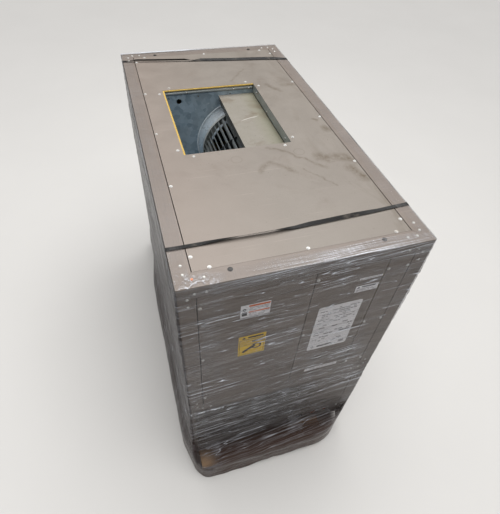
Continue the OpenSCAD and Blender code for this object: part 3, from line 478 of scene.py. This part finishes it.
def film_plastic(name, gloss):
    """Stretch film with painted shade in its dark tint on the walls: fine streaks along the wrap, sparse
    white creases as painted highlights, brighter laps.
    """
    made = Finish(name, Specular_IOR_Level=gloss)
    x, y, z = made.axes()
    lean = made.sums("ADD", made.sums("MULTIPLY", x, 0.07), made.sums("MULTIPLY", y, 0.04))
    level = made.sums("SUBTRACT", z, lean)
    flow = made.node("CombineXYZ", {0: x, 1: y, 2: level}).outputs[0]

    def streaks(scale, detail, rough, warp=0.0):
        where = made.node("Mapping", {"Vector": flow, "Scale": scale}).outputs[0]
        return made.noise(1, detail, rough, where, warp)

    def band(value, middle, reach):
        return made.span(made.sums("ABSOLUTE", made.sums("SUBTRACT", value, middle)), 0, reach, 1, 0)

    def either(one, other):
        return made.sums("ADD", one, other, True)

    def both(one, other):
        return made.sums("MULTIPLY", one, other)

    fine = streaks((4, 4, 210), 6, 0.72, 0.2)
    crease = streaks((1.8, 1.8, 60), 2, 0.5, 0.9)
    long_crease = streaks((0.9, 0.9, 22), 2, 0.5, 0.5)
    bands = streaks((10, 10, 1.6), 3, 0.5)
    over = made.span(z, TOP - 0.002, TOP + 0.002)
    wall = made.sums("SUBTRACT", 1.0, over)
    low = made.span(z, 0.225, 0.165)
    shade = made.span(z, 0.95, 0.3)
    side = both(made.span(made.sums("ABSOLUTE", x), HALF_W - 0.002, HALF_W + 0.002), wall)
    area = made.span(made.noise(3.4, 4, 0.6), 0.45, 0.6)
    # Painted highlights: the crease, streak and patch mask below turns the film near white where it would
    # catch the light.
    mask = both(band(crease, 0.5, 0.012), area)
    mask = either(mask, both(band(long_crease, 0.47, 0.0065), made.span(made.noise(2.1, 3), 0.4, 0.5)))
    mask = either(mask, band(long_crease, 0.56, 0.0035))
    mask = both(mask, made.span(z, 0.16, 0.4, 0.12, 1))
    sheen = both(made.span(fine, 0.5, 0.64, 0, 0.36), made.span(bands, 0.36, 0.66, 0.35, 1))
    sheen = both(sheen, made.span(z, 0.1, 0.3, 0.3, 1))
    mask = either(mask, sheen)
    mask = either(mask, made.span(bands, 0.56, 0.76, 0, 0.08))
    tall = made.node("VectorMath", {0: made.place, 1: (1.0, 1.0, 0.35)}, operation="MULTIPLY").outputs[0]
    for spot_x, spot_z, wide in PATCHES:
        centre = (spot_x, -HALF_D, spot_z * 0.35)
        far = made.node("VectorMath", {0: tall, 1: centre}, operation="DISTANCE").outputs["Value"]
        mask = either(mask, both(made.span(far, wide, 0, 0, 0.2), made.span(fine, 0.3, 0.6)))
    crinkle = made.span(made.noise(60, 5, 0.7, flow, 1.5), 0.54, 0.62, 0, 0.9)
    at_left = made.span(x, -HALF_W * 0.3, -HALF_W * 0.8, 0.25, 1)
    mask = either(mask, both(both(band(z, JOINT, 0.025), crinkle), at_left))
    ridge = both(band(z, JOINT - 0.004, 0.008), made.span(made.noise(26, 4, 0.6, flow), 0.42, 0.6, 0, 0.8))
    mask = either(mask, both(ridge, at_left))
    lines = streaks((2.2, 2.2, 260), 5, 0.7, 0.1)
    # Painted highlight: a streaky bluish-white band just under the top edge.
    brow = both(made.span(z, TOP - 0.06, TOP - 0.004, 0, 1.0), made.span(lines, 0.47, 0.58))
    mask = either(mask, both(brow, made.span(x, -HALF_W, HALF_W * 0.2, 0.45, 0.9)))
    upright = made.noise(1, 5, 0.6, made.stretched((3, 46, 1.1)), 0.3)
    mask = both(mask, made.sums("SUBTRACT", 1.0, both(side, 0.45)))
    mask = either(mask, both(side, made.span(upright, 0.5, 0.72, 0, 0.08)))
    hem = made.noise(1, 6, 0.7, made.stretched((7, 420, 1)), 0.3)
    hem_side = made.noise(1, 6, 0.7, made.stretched((420, 7, 1)), 0.3)
    front = both(both(made.span(hem, 0.44, 0.56), band(x, 0.14, 0.34)), made.span(y, -HALF_D * 0.93, -HALF_D))
    rear = both(made.span(hem, 0.4, 0.5), made.span(y, HALF_D * 0.975, HALF_D * 0.99))
    rear = both(rear, made.span(x, HALF_W * 0.2, -HALF_W * 0.3, 0.3, 1))
    corner = both(band(x, -HALF_W, 0.14), made.span(y, -HALF_D * 0.91, -HALF_D))
    corner = both(corner, made.span(made.noise(44, 6, 0.75, warp=1.4), 0.5, 0.63, 0, 2.1))
    faint = made.span(both(hem, hem_side), 0.25, 0.4, 0, 0.4)
    glare = either(either(front, rear), either(corner, faint))
    mask = either(both(mask, wall), both(over, glare))
    # Painted shade: the film's body is dark brown-grey on the walls, darker on the sides and brown on the
    # skirt, while the lap over the top is pale.
    body = made.mix(low, rgb(44, 38, 36), rgb(58, 45, 39))
    body = made.mix(both(side, made.span(z, TOP, 0.5, 0.5, 0.95)), body, rgb(50, 38, 35))
    body = made.mix(made.span(z, 0.14, 0.08), body, rgb(66, 51, 44))
    body = made.mix(over, body, rgb(150, 146, 144))
    tone = made.mix(mask, body, rgb(226, 231, 240))
    # Painted shade: a dark band just below the panel joint, strongest towards the left.
    shade_below_joint = both(made.span(z, JOINT + 0.004, JOINT - 0.012),
                 made.span(x, HALF_W * 0.5, -HALF_W * 0.1, 0.12, 1))
    shade_below_joint = both(shade_below_joint, made.span(made.sums("ABSOLUTE", x), HALF_W, HALF_W - 0.02))
    # Painted shade: the film grows denser lower down the walls and near the floor, so the walls darken
    # towards the bottom.
    base = either(both(shade, 0.16), both(low, 0.6))
    base = either(base, both(shade_below_joint, 0.42))
    # Painted shade: the film on the left side is made far denser than on the right.
    left = made.span(x, -HALF_W * 0.9, -HALF_W)
    base = either(base, both(side, made.span(left, 0, 1, 0.12, 0.5)))
    base = either(base, both(wall, 0.2))
    base = either(base, both(made.span(z, 0.15, 0.1), 0.5))
    dark_lines = both(made.span(fine, 0.48, 0.34, 0, 0.44), wall)
    base = either(base, dark_lines)
    window = made.near((runner_low.x + 0.015, runner_low.y + 0.015, 0.16), 0.09)
    base = both(base, made.sums("SUBTRACT", 1.0, made.span(window, 0.1, 0.8, 0, 0.62)))
    base = either(base, both(over, 0.06))
    alpha = either(base, both(mask, 0.7))
    rough = made.span(fine, 0.3, 0.7, 0.08, 0.24)
    small = made.bump(fine, 0.0008, 0.7)
    big = made.bump(crease, 0.0025, 0.7, small)
    return made.join(Base_Color=tone, Alpha=alpha, Roughness=rough, Normal=big).material


# ---------------------------------------------------------------- pieces
def add_mesh(name, points, faces, materials, smooth=True, slots=None):
    """A new mesh piece at the origin, in the row frame."""
    mesh = bpy.data.meshes.new(name)
    mesh.from_pydata([tuple(p) for p in points], [], faces)
    for material in materials:
        mesh.materials.append(material)
    if slots:
        mesh.polygons.foreach_set("material_index", slots)
    mesh.polygons.foreach_set("use_smooth", [smooth] * len(faces))
    mesh.update()
    piece = bpy.data.objects.new(name, mesh)
    scene.collection.objects.link(piece)
    return piece


def ripple(x, y, z, across, along, seed=0.0):
    """Noise that is stretched along the film's wrap, which climbs a little to the right."""
    level = z - 0.07 * x - 0.04 * y
    return noise.noise(Vector((x * across + seed, y * across, level * along)))


def film_wrap():
    """One tube of stretch film round the cabinet: lap on top, walls, skirt and drop."""
    wall = 0.0035
    lap_z = TOP + 0.0038
    bend_z, foot_z, low_z = 0.27, 0.118, 0.006
    reach, flare = film_high.y - 0.0006 - HALF_D, film_high.x - 0.0006 - HALF_W
    bell = -film_low.x - 0.0006 - HALF_W - wall

    def smooth(value):
        value = min(1.0, max(0.0, value))
        return value * value * (3 - 2 * value)

    def to_side(x, y, z):
        """The film hangs off the cabinet on the left, and runs straight down on the right."""
        if x > 0:
            return x * (1 - smooth((bend_z - z) / (bend_z - foot_z)) * (flare - wall) / (HALF_W + flare))
        middle = smooth((y + HALF_D + 0.08) / 0.2) * smooth((HALF_D - 0.1 - y) / 0.35)
        hang = 0.4 * smooth((0.62 - z) / 0.4) + 0.6 * smooth((bend_z + 0.05 - z) / 0.2)
        return x - (bell + 0.004) * middle * hang * smooth((-x - HALF_W + 0.05) / 0.05)

    rows = []
    for step in range(11):
        rows.append(("lap", 1 - step / 11, lap_z, wall, wall, 0))
    for step in range(5):
        turn = step / 4 * math.pi / 2
        out = wall - 0.004 * (1 - math.sin(turn))
        rows.append(("edge", 0, lap_z - 0.004 * (1 - math.cos(turn)), out, out, 0))
    count = 206
    for step in range(1, count):
        z = TOP - 0.002 + (bend_z - TOP) * step / count
        rows.append(("wall", 0, z, wall, wall, 0))
    for step in range(30):
        f = step / 29
        ease = f * f * (3 - 2 * f)
        z = bend_z + (foot_z - bend_z) * f
        rows.append(("skirt", f, z, wall + (flare - wall) * ease, wall + (reach - wall) * ease,
                     ease))
    for step in range(1, 19):
        z = foot_z + (low_z - foot_z) * step / 18
        rows.append(("drop", step / 18, z, flare, reach, 1))

    columns = []
    for side, spots in enumerate((76, 142, 76, 142)):
        columns += [(side, "straight", i / spots) for i in range(spots)]
        columns += [(side, "corner", i / 9) for i in range(9)]

    signs = [(1, -1), (1, 1), (-1, 1), (-1, -1)]
    outward = [(0, -1), (1, 0), (0, 1), (-1, 0)]

    def ring_point(side, part, f, half_x, half_y, radii):
        """A point on the rounded rectangle, and the direction out of it."""
        out, after = outward[side], outward[(side + 1) % 4]
        ends = []
        for corner in ((side + 3) % 4, side):
            r = radii[corner]
            sx, sy = signs[corner]
            ends.append((sx * (half_x - r), sy * (half_y - r), r))
        if part == "straight":
            (x0, y0, r0), (x1, y1, r1) = ends
            x = (x0 + out[0] * r0) * (1 - f) + (x1 + out[0] * r1) * f
            y = (y0 + out[1] * r0) * (1 - f) + (y1 + out[1] * r1) * f
            return x, y, out
        turn = f * math.pi / 2
        way = (out[0] * math.cos(turn) + after[0] * math.sin(turn),
               out[1] * math.cos(turn) + after[1] * math.sin(turn))
        x, y, r = ends[1]
        return x + way[0] * r, y + way[1] * r, way

    points = []
    for part, f, z, out_x, out_y, radius in rows:
        for side, kind, g in columns:
            base_x, base_y, way = ring_point(side, kind, g, HALF_W + wall, HALF_D + wall, [0.008] * 4)
            if part == "lap":
                lap = 0.041 + 0.012 * noise.noise(Vector((base_x * 5, base_y * 5, 3)))
                lap += 0.005 * noise.noise(Vector((base_x * 26, base_y * 26, 8)))
                back = lap * f
                x, y, _ = ring_point(side, kind, g, HALF_W + wall - 0.004 - back,
                                     HALF_D + wall - 0.004 - back, [0.004] * 4)
                crumple = noise.noise(Vector((base_x * 5, base_y * 5, f * 9)))
                crumple += 0.5 * noise.noise(Vector((base_x * 30, base_y * 30, f * 6 + 5)))
                lift = 0.0014 * max(0.0, crumple + 0.2) * (0.3 + 0.7 * math.sin(f * 2.6))
                points.append((x, y, z + lift))
                continue
            radii = [0.008 + (foot - 0.008) * radius for foot in (0.2, 0.06, 0.06, 0.07)]
            x, y, way = ring_point(side, kind, g, HALF_W + out_x, HALF_D + out_y, radii)
            if part == "edge":
                tight = noise.noise(Vector((base_x * 40, base_y * 40, 1)))
                push = 0.0006 * max(0.0, tight)
            elif part == "wall":
                calm = min(1.0, (TOP - z) / 0.03) * min(1.0, 0.4 + (z - bend_z) / 0.1)
                fine = ripple(x, y, z, 3.2, 52) * 0.0011 + ripple(x, y, z, 6, 110, 7) * 0.0006
                crease = 1 - abs(ripple(x, y, z, 1.7, 21, 3)) * 3.2
                joint = math.exp(-((z - JOINT) / 0.028) ** 2)
                bunch = noise.noise(Vector((x * 38, y * 38, z * 46))) * 0.0022 * joint
                push = calm * (fine + max(0.0, crease) ** 2 * 0.0016 + bunch) - 0.0004
                swell = noise.noise(Vector((x * 0.5, y * 2.4, z * 2.6 + 9))) + 0.25
                push = max(push, -0.0024) + abs(way[0]) * 0.007 * calm * max(0.0, swell)
            else:
                deep = f if part == "skirt" else 1.0
                folds = noise.noise(Vector((x * 7, y * 7, z * 2.5)))
                folds += 0.5 * noise.noise(Vector((x * 19, y * 19, z * 5 + 4)))
                crisp = 1 - abs(noise.noise(Vector((x * 11 + 5, y * 11, z * 9)))) * 3
                push = deep * (0.0015 + 0.0035 * folds + 0.0012 * max(0.0, crisp))
                push = max(push, -0.002) + ripple(x, y, z, 4, 46, 2) * 0.0009
                if part == "drop":
                    z_wave = 0.006 * noise.noise(Vector((x * 9, y * 9, 2)))
                    z = max(0.002, z + z_wave * f)
            x, y = x + way[0] * push, y + way[1] * push
            points.append((to_side(x, y, z), y, z))
    across = len(columns)
    faces, slots = [], []
    for row in range(len(rows) - 1):
        for column in range(across):
            a = row * across + column
            b = row * across + (column + 1) % across
            faces.append((a, a + across, b + across, b))
            on_side = columns[column][0] in (1, 3) and rows[row][0] not in ("lap", "edge")
            slots.append(1 if on_side or rows[row][0] == "drop" else 0)
    films = [film_plastic("film_glossy", 0.3), film_plastic("film_dull", 0.03)]
    piece = add_mesh("film_wrap", points, faces, films, True, slots)
    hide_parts("stretch_film")
    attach(piece, "cabinet")


def islands(node):
    """The box of each separate solid in a CAD node, from left to right."""
    mesh = bmesh.new()
    mesh.from_mesh(frame["nodes"][node].data)
    bmesh.ops.remove_doubles(mesh, verts=mesh.verts, dist=1e-6)
    left = set(mesh.verts)
    boxes = []
    while left:
        stack = [left.pop()]
        group = []
        while stack:
            vert = stack.pop()
            group.append(vert.co.copy())
            for edge in vert.link_edges:
                other = edge.other_vert(vert)
                if other in left:
                    left.remove(other)
                    stack.append(other)
        co = np.array(group)
        boxes.append((Vector(co.min(0)), Vector(co.max(0))))
    mesh.free()
    return sorted(boxes, key=lambda b: (round(b[0].x, 3), b[0].z))


class Label:
    """A sticker built up of flat shapes, each a hair in front of the one below."""

    def __init__(self, box):
        self.low, self.high = box
        self.points, self.faces, self.slots = [], [], []

    def outline(self, ring, ink, level):
        """A shape given in fractions of the label, raised by level hundredths of a millimetre."""
        size = self.high - self.low
        face_y = self.low.y - level * 1e-5
        start = len(self.points)
        for u, v in ring:
            self.points.append((self.low.x + u * size.x, face_y, self.low.z + v * size.z))
        self.faces.append(list(range(start, start + len(ring))))
        self.slots.append(ink)

    def bar(self, u0, v0, u1, v1, ink, level=6):
        self.outline([(u0, v0), (u1, v0), (u1, v1), (u0, v1)], ink, level)

    def rounded(self, u0, v0, u1, v1, radius, ink, level):
        size = self.high - self.low
        ru, rv = radius / size.x, radius / size.z
        ring = []
        for centre, first in (((u1 - ru, v0 + rv), -90), ((u1 - ru, v1 - rv), 0),
                              ((u0 + ru, v1 - rv), 90), ((u0 + ru, v0 + rv), 180)):
            for step in range(7):
                angle = math.radians(first + step * 15)
                ring.append((centre[0] + ru * math.cos(angle), centre[1] + rv * math.sin(angle)))
        self.outline(ring, ink, level)

    def ring(self, u, v, outer, inner, ink, level):
        """A round mark with a hole, as short flat pieces."""
        size = self.high - self.low
        for step in range(20):
            a, b = step * math.tau / 20, (step + 1) * math.tau / 20
            self.outline([(u + r * math.cos(t) / size.x, v + r * math.sin(t) / size.z)
                          for r, t in ((outer, a), (outer, b), (inner, b), (inner, a))], ink, level)

    def rows(self, u0, v0, u1, v1, count, ink, fill, seed):
        """Rows of short grey dashes where the real label has small print."""
        draw = random.Random(seed)
        pitch = (v1 - v0) / count
        for row in range(count):
            u = u0
            v = v1 - (row + 0.5) * pitch
            while u < u1 - 0.02:
                length = min(draw.uniform(0.04, 0.16), u1 - u)
                if draw.random() < fill:
                    self.bar(u, v - pitch * 0.26, u + length, v + pitch * 0.26, ink)
                u += length + 0.018


def add_labels():
    """Generic labels in the places of the real ones: blocks and bars, and no lettering."""
    inks = [
        print_ink("stock_pale", rgb(248, 246, 249), rgb(232, 230, 233)),
        print_ink("stock_yellow", rgb(236, 196, 58), rgb(222, 180, 52)),
        print_ink("ink_orange", rgb(226, 116, 60), rgb(206, 104, 58)),
        print_ink("ink_black", rgb(34, 33, 34), rgb(58, 56, 56)),
        print_ink("ink_grey", rgb(150, 148, 152), rgb(176, 174, 176)),
        print_ink("stock_silver", rgb(196, 196, 200), rgb(160, 160, 164)),
    ]
    pale, yellow, orange, black, grey, silver = range(6)
    made = Label(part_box("nameplate"))
    made.rounded(0, 0, 1, 1, 0.009, pale, 2)
    made.rows(0.06, 0.62, 0.94, 0.95, 9, grey, 0.62, 5)
    made.rows(0.06, 0.34, 0.94, 0.6, 5, grey, 0.42, 6)
    made.rows(0.06, 0.13, 0.8, 0.32, 4, grey, 0.3, 8)
    made.bar(0.24, 0.05, 0.6, 0.085, black)
    made.ring(0.12, 0.068, 0.006, 0.003, black, 6)
    made.rounded(0.78, 0.05, 0.92, 0.11, 0.003, grey, 6)
    plate = add_mesh("nameplate_print", made.points, made.faces, inks, False, made.slots)
    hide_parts("nameplate")
    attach(plate, "cabinet")

    sheets = islands("stickers")
    points, faces, slots = [], [], []
    for box in sheets:
        made = Label(box)
        wide, tall = box[1].x - box[0].x, box[1].z - box[0].z
        if tall > 0.1:
            made.rounded(0, 0, 1, 1, 0.002, yellow, 2)
            made.rounded(0.04, 0.04, 0.96, 0.8, 0.004, black, 4)
            made.rounded(0.055, 0.052, 0.945, 0.788, 0.004, yellow, 6)
            made.outline([(0.14, 0.2), (0.2, 0.12), (0.66, 0.4), (0.6, 0.5)], black, 8)
            made.ring(0.68, 0.4, 0.017, 0.011, black, 10)
            made.bar(0.5, 0.62, 0.9, 0.7, black, 8)
            made.outline([(0.12, 0.85), (0.26, 0.85), (0.19, 0.95)], black, 4)
            made.bar(0.34, 0.86, 0.9, 0.93, black, 4)
        elif tall > 0.05:
            made.rounded(0, 0, 1, 1, 0.002, pale, 2)
            made.bar(0.27, 0.8, 0.98, 0.94, orange, 4)
            made.bar(0.27, 0.34, 0.98, 0.44, orange, 4)
            made.rows(0.29, 0.48, 0.96, 0.78, 3, grey, 0.85, 3)
            made.rows(0.29, 0.06, 0.96, 0.32, 3, grey, 0.8, 4)
            made.rounded(0.04, 0.14, 0.22, 0.44, 0.003, black, 4)
            made.ring(0.13, 0.62, 0.006, 0.002, black, 4)
        elif wide < 0.1 and tall > 0.02:
            made.rounded(0, 0, 1, 1, 0.002, pale, 2)
            made.outline([(0.05, 0.6), (0.2, 0.6), (0.125, 0.9)], black, 4)
            made.bar(0.26, 0.64, 0.86, 0.86, black, 4)
            made.rows(0.06, 0.08, 0.95, 0.52, 3, grey, 0.8, 7)
        elif wide < 0.1:
            made.rounded(0, 0, 1, 1, 0.001, pale, 2)
            made.rows(0.03, 0.2, 0.97, 0.8, 1, grey, 0.8, 9)
        elif tall > 0.025:
            made.rounded(0, 0, 1, 1, 0.002, silver, 2)
            made.rounded(0.02, 0.1, 0.98, 0.9, 0.001, grey, 4)
            made.rounded(0.04, 0.2, 0.96, 0.8, 0.001, silver, 6)
            made.rounded(0.4, 0.3, 0.6, 0.7, 0.002, black, 8)
        else:
            made.rounded(0, 0, 1, 1, 0.002, pale, 2)
            made.rows(0.03, 0.16, 0.97, 0.84, 2, grey, 0.5, 11)
        faces += [[i + len(points) for i in face] for face in made.faces]
        points += made.points
        slots += made.slots
    piece = add_mesh("label_prints", points, faces, inks, False, slots)
    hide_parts("stickers")
    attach(piece, "cabinet")


def strap_rings(line, twist, width, thick):
    """Cross-sections of a flat band along a line: twist is its turn about the line at each point."""
    points = []
    for index, here in enumerate(line):
        before = line[max(0, index - 1)]
        after = line[min(len(line) - 1, index + 1)]
        way = (after - before).normalized()
        flat = Vector((0, 1, 0)) - way * way.y
        flat.normalize()
        up = way.cross(flat)
        turn = Matrix.Rotation(twist[index], 3, way)
        flat, up = turn @ flat, turn @ up
        for u in (-0.5, -0.25, 0, 0.25, 0.5):
            points.append(here + flat * (u * width) + up * (thick / 2))
        for u in (0.5, 0.25, 0, -0.25, -0.5):
            points.append(here + flat * (u * width) - up * (thick / 2))
    return points


def add_straps():
    """Two black straps across the top and down both sides, each turned on edge in part of its run."""
    low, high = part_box("shipping_straps")
    top = high.z - 0.0002
    out = high.x + 0.0017
    foot = low.z
    width, thick = 0.0125, 0.0009
    runs = {
        "strap_front": (-0.576, -0.559, [(0, 0), (0.13, 0), (0.27, -0.8), (0.4, -0.85), (0.55, 0.5),
                                         (0.74, 0.6), (0.86, 0), (1, 0)], -0.009),
        "strap_rear": (0.631, 0.541, [(0, 0), (0.08, -0.9), (0.36, -0.9), (0.46, 0.5), (0.9, 0.6),
                                      (1, 0)], -0.002),
    }
    for name, (left_y, right_y, turns, bow) in runs.items():
        line, twist = [], []
        for step in range(61):
            z = foot + (top - 0.004 - foot) * step / 60
            line.append(Vector((-out, left_y, z)))
            twist.append(0.0)
        for step in range(1, 4):
            a = step / 4 * math.pi / 2
            line.append(Vector((-out + 0.004 * (1 - math.cos(a)), left_y,
                                top - 0.004 + 0.004 * math.sin(a))))
            twist.append(0.0)
        count = 170
        for step in range(count + 1):
            f = step / count
            x = (-out + 0.004) * (1 - f) + (out - 0.004) * f
            turn = np.interp(f, [t[0] for t in turns], [t[1] for t in turns])
            wave = 0.0022 * noise.noise(Vector((x * 6, left_y * 9, 1)))
            y = left_y * (1 - f) + right_y * f + bow * math.sin(f * math.pi) + wave
            lift = 0.5 * width * abs(math.sin(turn))
            line.append(Vector((x, y, top + lift)))
            twist.append(turn)
        for step in range(1, 4):
            a = step / 4 * math.pi / 2
            line.append(Vector((out - 0.004 * (1 - math.sin(a)), right_y,
                                top - 0.004 * (1 - math.cos(a)))))
            twist.append(0.0)
        for step in range(61):
            z = top - 0.004 + (foot - top + 0.004) * step / 60
            line.append(Vector((out, right_y, z)))
            twist.append(0.0)
        points = strap_rings(line, twist, width, thick)
        faces = []
        for row in range(len(line) - 1):
            for k in range(10):
                a, b = row * 10 + k, row * 10 + (k + 1) % 10
                faces.append((a, b, b + 10, a + 10))
        faces.append(tuple(range(9, -1, -1)))
        last = (len(line) - 1) * 10
        faces.append(tuple(range(last, last + 10)))
        piece = add_mesh(name, points, faces, [finishes["strap_black"]], False)
        if name == "strap_front":
            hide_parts("shipping_straps")
        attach(piece, "cabinet")


def bead_ring(name, centre, radius, half, height, toward):
    """A raised rounded bead in a circle on a flat sheet that faces along Y."""
    points, faces = [], []
    around, over = 120, 7
    for step in range(around):
        turn = step * math.tau / around
        for k in range(over):
            bend = k * math.pi / (over - 1)
            r = radius - half * math.cos(bend)
            y = centre.y + toward * height * math.sin(bend)
            points.append((centre.x + r * math.cos(turn), y, centre.z + r * math.sin(turn)))
    for step in range(around):
        for k in range(over - 1):
            a, b = step * over + k, (step + 1) % around * over + k
            faces.append((a, b, b + 1, a + 1) if toward > 0 else (a, a + 1, b + 1, b))
    piece = add_mesh(name, points, faces, [finishes["bead_edge"]])
    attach(piece, "cabinet")


def add_heads(name, places, radius, height):
    """Low domed rivet or bolt heads: each place is (point, direction it faces)."""
    points, faces = [], []
    for point, way in places:
        way = Vector(way)
        side = way.orthogonal().normalized()
        other = way.cross(side)
        start = len(points)
        for r, h in ((1, 0), (1, 0.35), (0.78, 0.75), (0.4, 0.97)):
            for k in range(12):
                turn = k * math.tau / 12
                points.append(Vector(point) + side * (r * radius * math.cos(turn))
                              + other * (r * radius * math.sin(turn)) + way * (h * height))
        for row in range(3):
            for k in range(12):
                a, b = start + row * 12 + k, start + row * 12 + (k + 1) % 12
                faces.append((a, b, b + 12, a + 12))
        faces.append(tuple(range(start + 36, start + 48)))
    piece = add_mesh(name, points, faces, [finishes["bright_steel"]])
    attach(piece, "cabinet")


def add_blower_details():
    """Beads round the inlets, and the bolts and rivets in the outlet's flanges."""
    flange_low, flange_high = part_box("inlet_rings")
    radius = (flange_high.x - flange_low.x) / 2 - 0.014
    for name, node, toward in (("front_bead", "front_side_plate", 1), ("rear_bead", "rear_side_plate", -1)):
        low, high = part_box(node)
        face_y = high.y if toward > 0 else low.y
        bead_ring(name, Vector((AXIS.x, face_y, AXIS.z)), radius, 0.0028, 0.0022, toward)
    low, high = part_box("opening_gasket")
    edge = 0.02
    left, right = low.x + edge, high.x - edge
    front, rear = low.y + edge, high.y - edge
    heads = [((left, y, TOP - 0.016), (1, 0, 0)) for y in (rear - 0.06, rear - 0.3)]
    heads += [((right, y, TOP - z), (-1, 0, 0)) for y, z in
              ((rear - 0.05, 0.02), (rear - 0.2, 0.03), (front + 0.06, 0.022))]
    heads += [((x, rear - 0.004, TOP - 0.017), (0, -1, 0)) for x in (left + 0.1, right - 0.09, right - 0.02)]
    add_heads("flange_bolts", heads, 0.0042, 0.003)


place_camera()
sun = bpy.data.lights.new("ceiling", "SUN")
sun.energy = 3.5
sun.angle = math.radians(70)
sun.color = (1.0, 0.985, 0.97)
ceiling = bpy.data.objects.new("ceiling", sun)
ceiling.rotation_euler = (math.radians(8), math.radians(6), 0)
scene.collection.objects.link(ceiling)
add_light("overhead", (0.3, 0.9, 4.2), (0.05, 0, 1.2), (3.2, 2.6), 70, (1.0, 0.99, 0.975))
add_light("from_left", (-3.6, -1.6, 3.0), (0, 0, 0.8), (2.2, 2.0), 5, (0.94, 0.97, 1.0))
add_light("from_front", (0.8, -4.6, 3.4), (0, 0, 0.8), (1.6, 1.2), 6, (1.0, 0.99, 0.98))

world = bpy.data.worlds.new("studio")
world.use_nodes = True
world.node_tree.nodes["Background"].inputs[0].default_value = (0.82, 0.85, 0.9, 1)
world.node_tree.nodes["Background"].inputs[1].default_value = 0.12
scene.world = world
scene.view_settings.view_transform = "Standard"


def add_floor():
    """A plain pale flat floor."""
    made = Finish("floor_paint", Roughness=0.7)
    tone = made.mix(made.noise(1.2, 3), rgb(196, 195, 193), rgb(190, 189, 187))
    made.join(Base_Color=tone)
    half = 7.0
    points = [(-half, -half, 0), (half, -half, 0), (half, half, 0), (-half, half, 0)]
    add_mesh("floor", points, [(0, 1, 2, 3)], [made.material], False)


add_floor()

PAINT_BASE, PAINT_DARK = rgb(131, 122, 116), rgb(118, 109, 102)
finishes = {
    "panel_paint": paint("paint_panels", PAINT_BASE, PAINT_DARK)[0].material,
    "galvanised": galvanised("zinc_sheet", rgb(166, 184, 196), rgb(124, 142, 154), metal=0.3),
    "wheel_steel": metal("wheel_zinc", rgb(206, 208, 204), rgb(160, 162, 158), 0.28, 0.42,
                         40, soil=rgb(112, 100, 84), shine=0.45),
    "dusty_steel": dusty_steel(),
    "bright_steel": metal("plated_steel", rgb(214, 214, 210), rgb(150, 150, 148), 0.2, 0.38,
                          120, soil=rgb(120, 104, 84)),
    "black_plastic": plastic("moulded_black", rgb(34, 33, 33), rgb(50, 49, 48)),
    "insulation": fibre(),
    "cast_grey": metal("cast_iron", rgb(112, 112, 112), rgb(74, 74, 75), 0.5, 0.68, 90,
                       soil=rgb(96, 70, 50), shine=0.5),
    "motor_paint": metal("motor_enamel", rgb(66, 70, 76), rgb(48, 51, 56), 0.32, 0.46, 70,
                         soil=rgb(112, 100, 84), shine=0.1),
    "belt_rubber": plastic("belt_rubber", rgb(30, 29, 29), rgb(44, 42, 40), 0.6, 0.78),
    "coil_metal": fins(),
    "copper": metal("copper_pipe", rgb(196, 116, 78), rgb(140, 76, 50), 0.25, 0.42, 50,
                    soil=rgb(86, 62, 46)),
    "filter_media": media(),
    # The inlet beads' near-white zinc is partly the zinc's own colour and partly a painted highlight along
    # the bead.
    "bead_edge": metal("bead_edge", rgb(226, 234, 238), rgb(186, 196, 202), 0.24, 0.4, 60,
                       shine=0.15),
    "strap_black": plastic("strap_band", rgb(9, 9, 10), rgb(20, 19, 20), 0.42, 0.6, 140),
}
for row in frame["record"]["subparts"]:
    node = frame["nodes"][row["node"]]
    finish = finishes.get(row["material_slot"])
    if row["node"] == "top_panel":
        finish = top_paint()
    elif row["node"] == "wheel_blades":
        finish = wheel_zinc()
    # Painted shade: the parts deep inside the wheel get a dark copy of the zinc.
    elif row["node"] in ("bearing_supports", "wheel_center_plate", "wheel_hub"):
        finish = metal("shaded_zinc", rgb(70, 74, 76), rgb(48, 51, 53), 0.4, 0.55, 40,
                       soil=rgb(62, 54, 46), shine=0.4)
    elif row["node"] == "outlet_flanges":
        finish = flange_zinc()
    elif row["node"] == "inlet_rings":
        finish = bell_zinc()
    elif row["node"] == "corner_rivets":
        finish = rivet_metal()
    elif row["node"] == "cabinet_screws":
        finish = metal("zinc_screws", rgb(232, 232, 230), rgb(188, 188, 186), 0.3, 0.45, 150,
                       soil=rgb(150, 132, 108), shine=0.3)
    elif row["node"] == "deck_boards":
        finish = wood("pine_boards", "x")
    elif row["node"] == "skid_runners":
        finish = wood("pine_runners", "y")
    elif row["node"] in ("stickers", "nameplate"):
        finish = print_ink("label_stock", rgb(196, 196, 194), rgb(176, 176, 172))
    if finish:
        node.data.materials.clear()
        node.data.materials.append(finish)
        for face in node.data.polygons:
            face.material_index = 0

film_wrap()
add_labels()
add_straps()
add_blower_details()
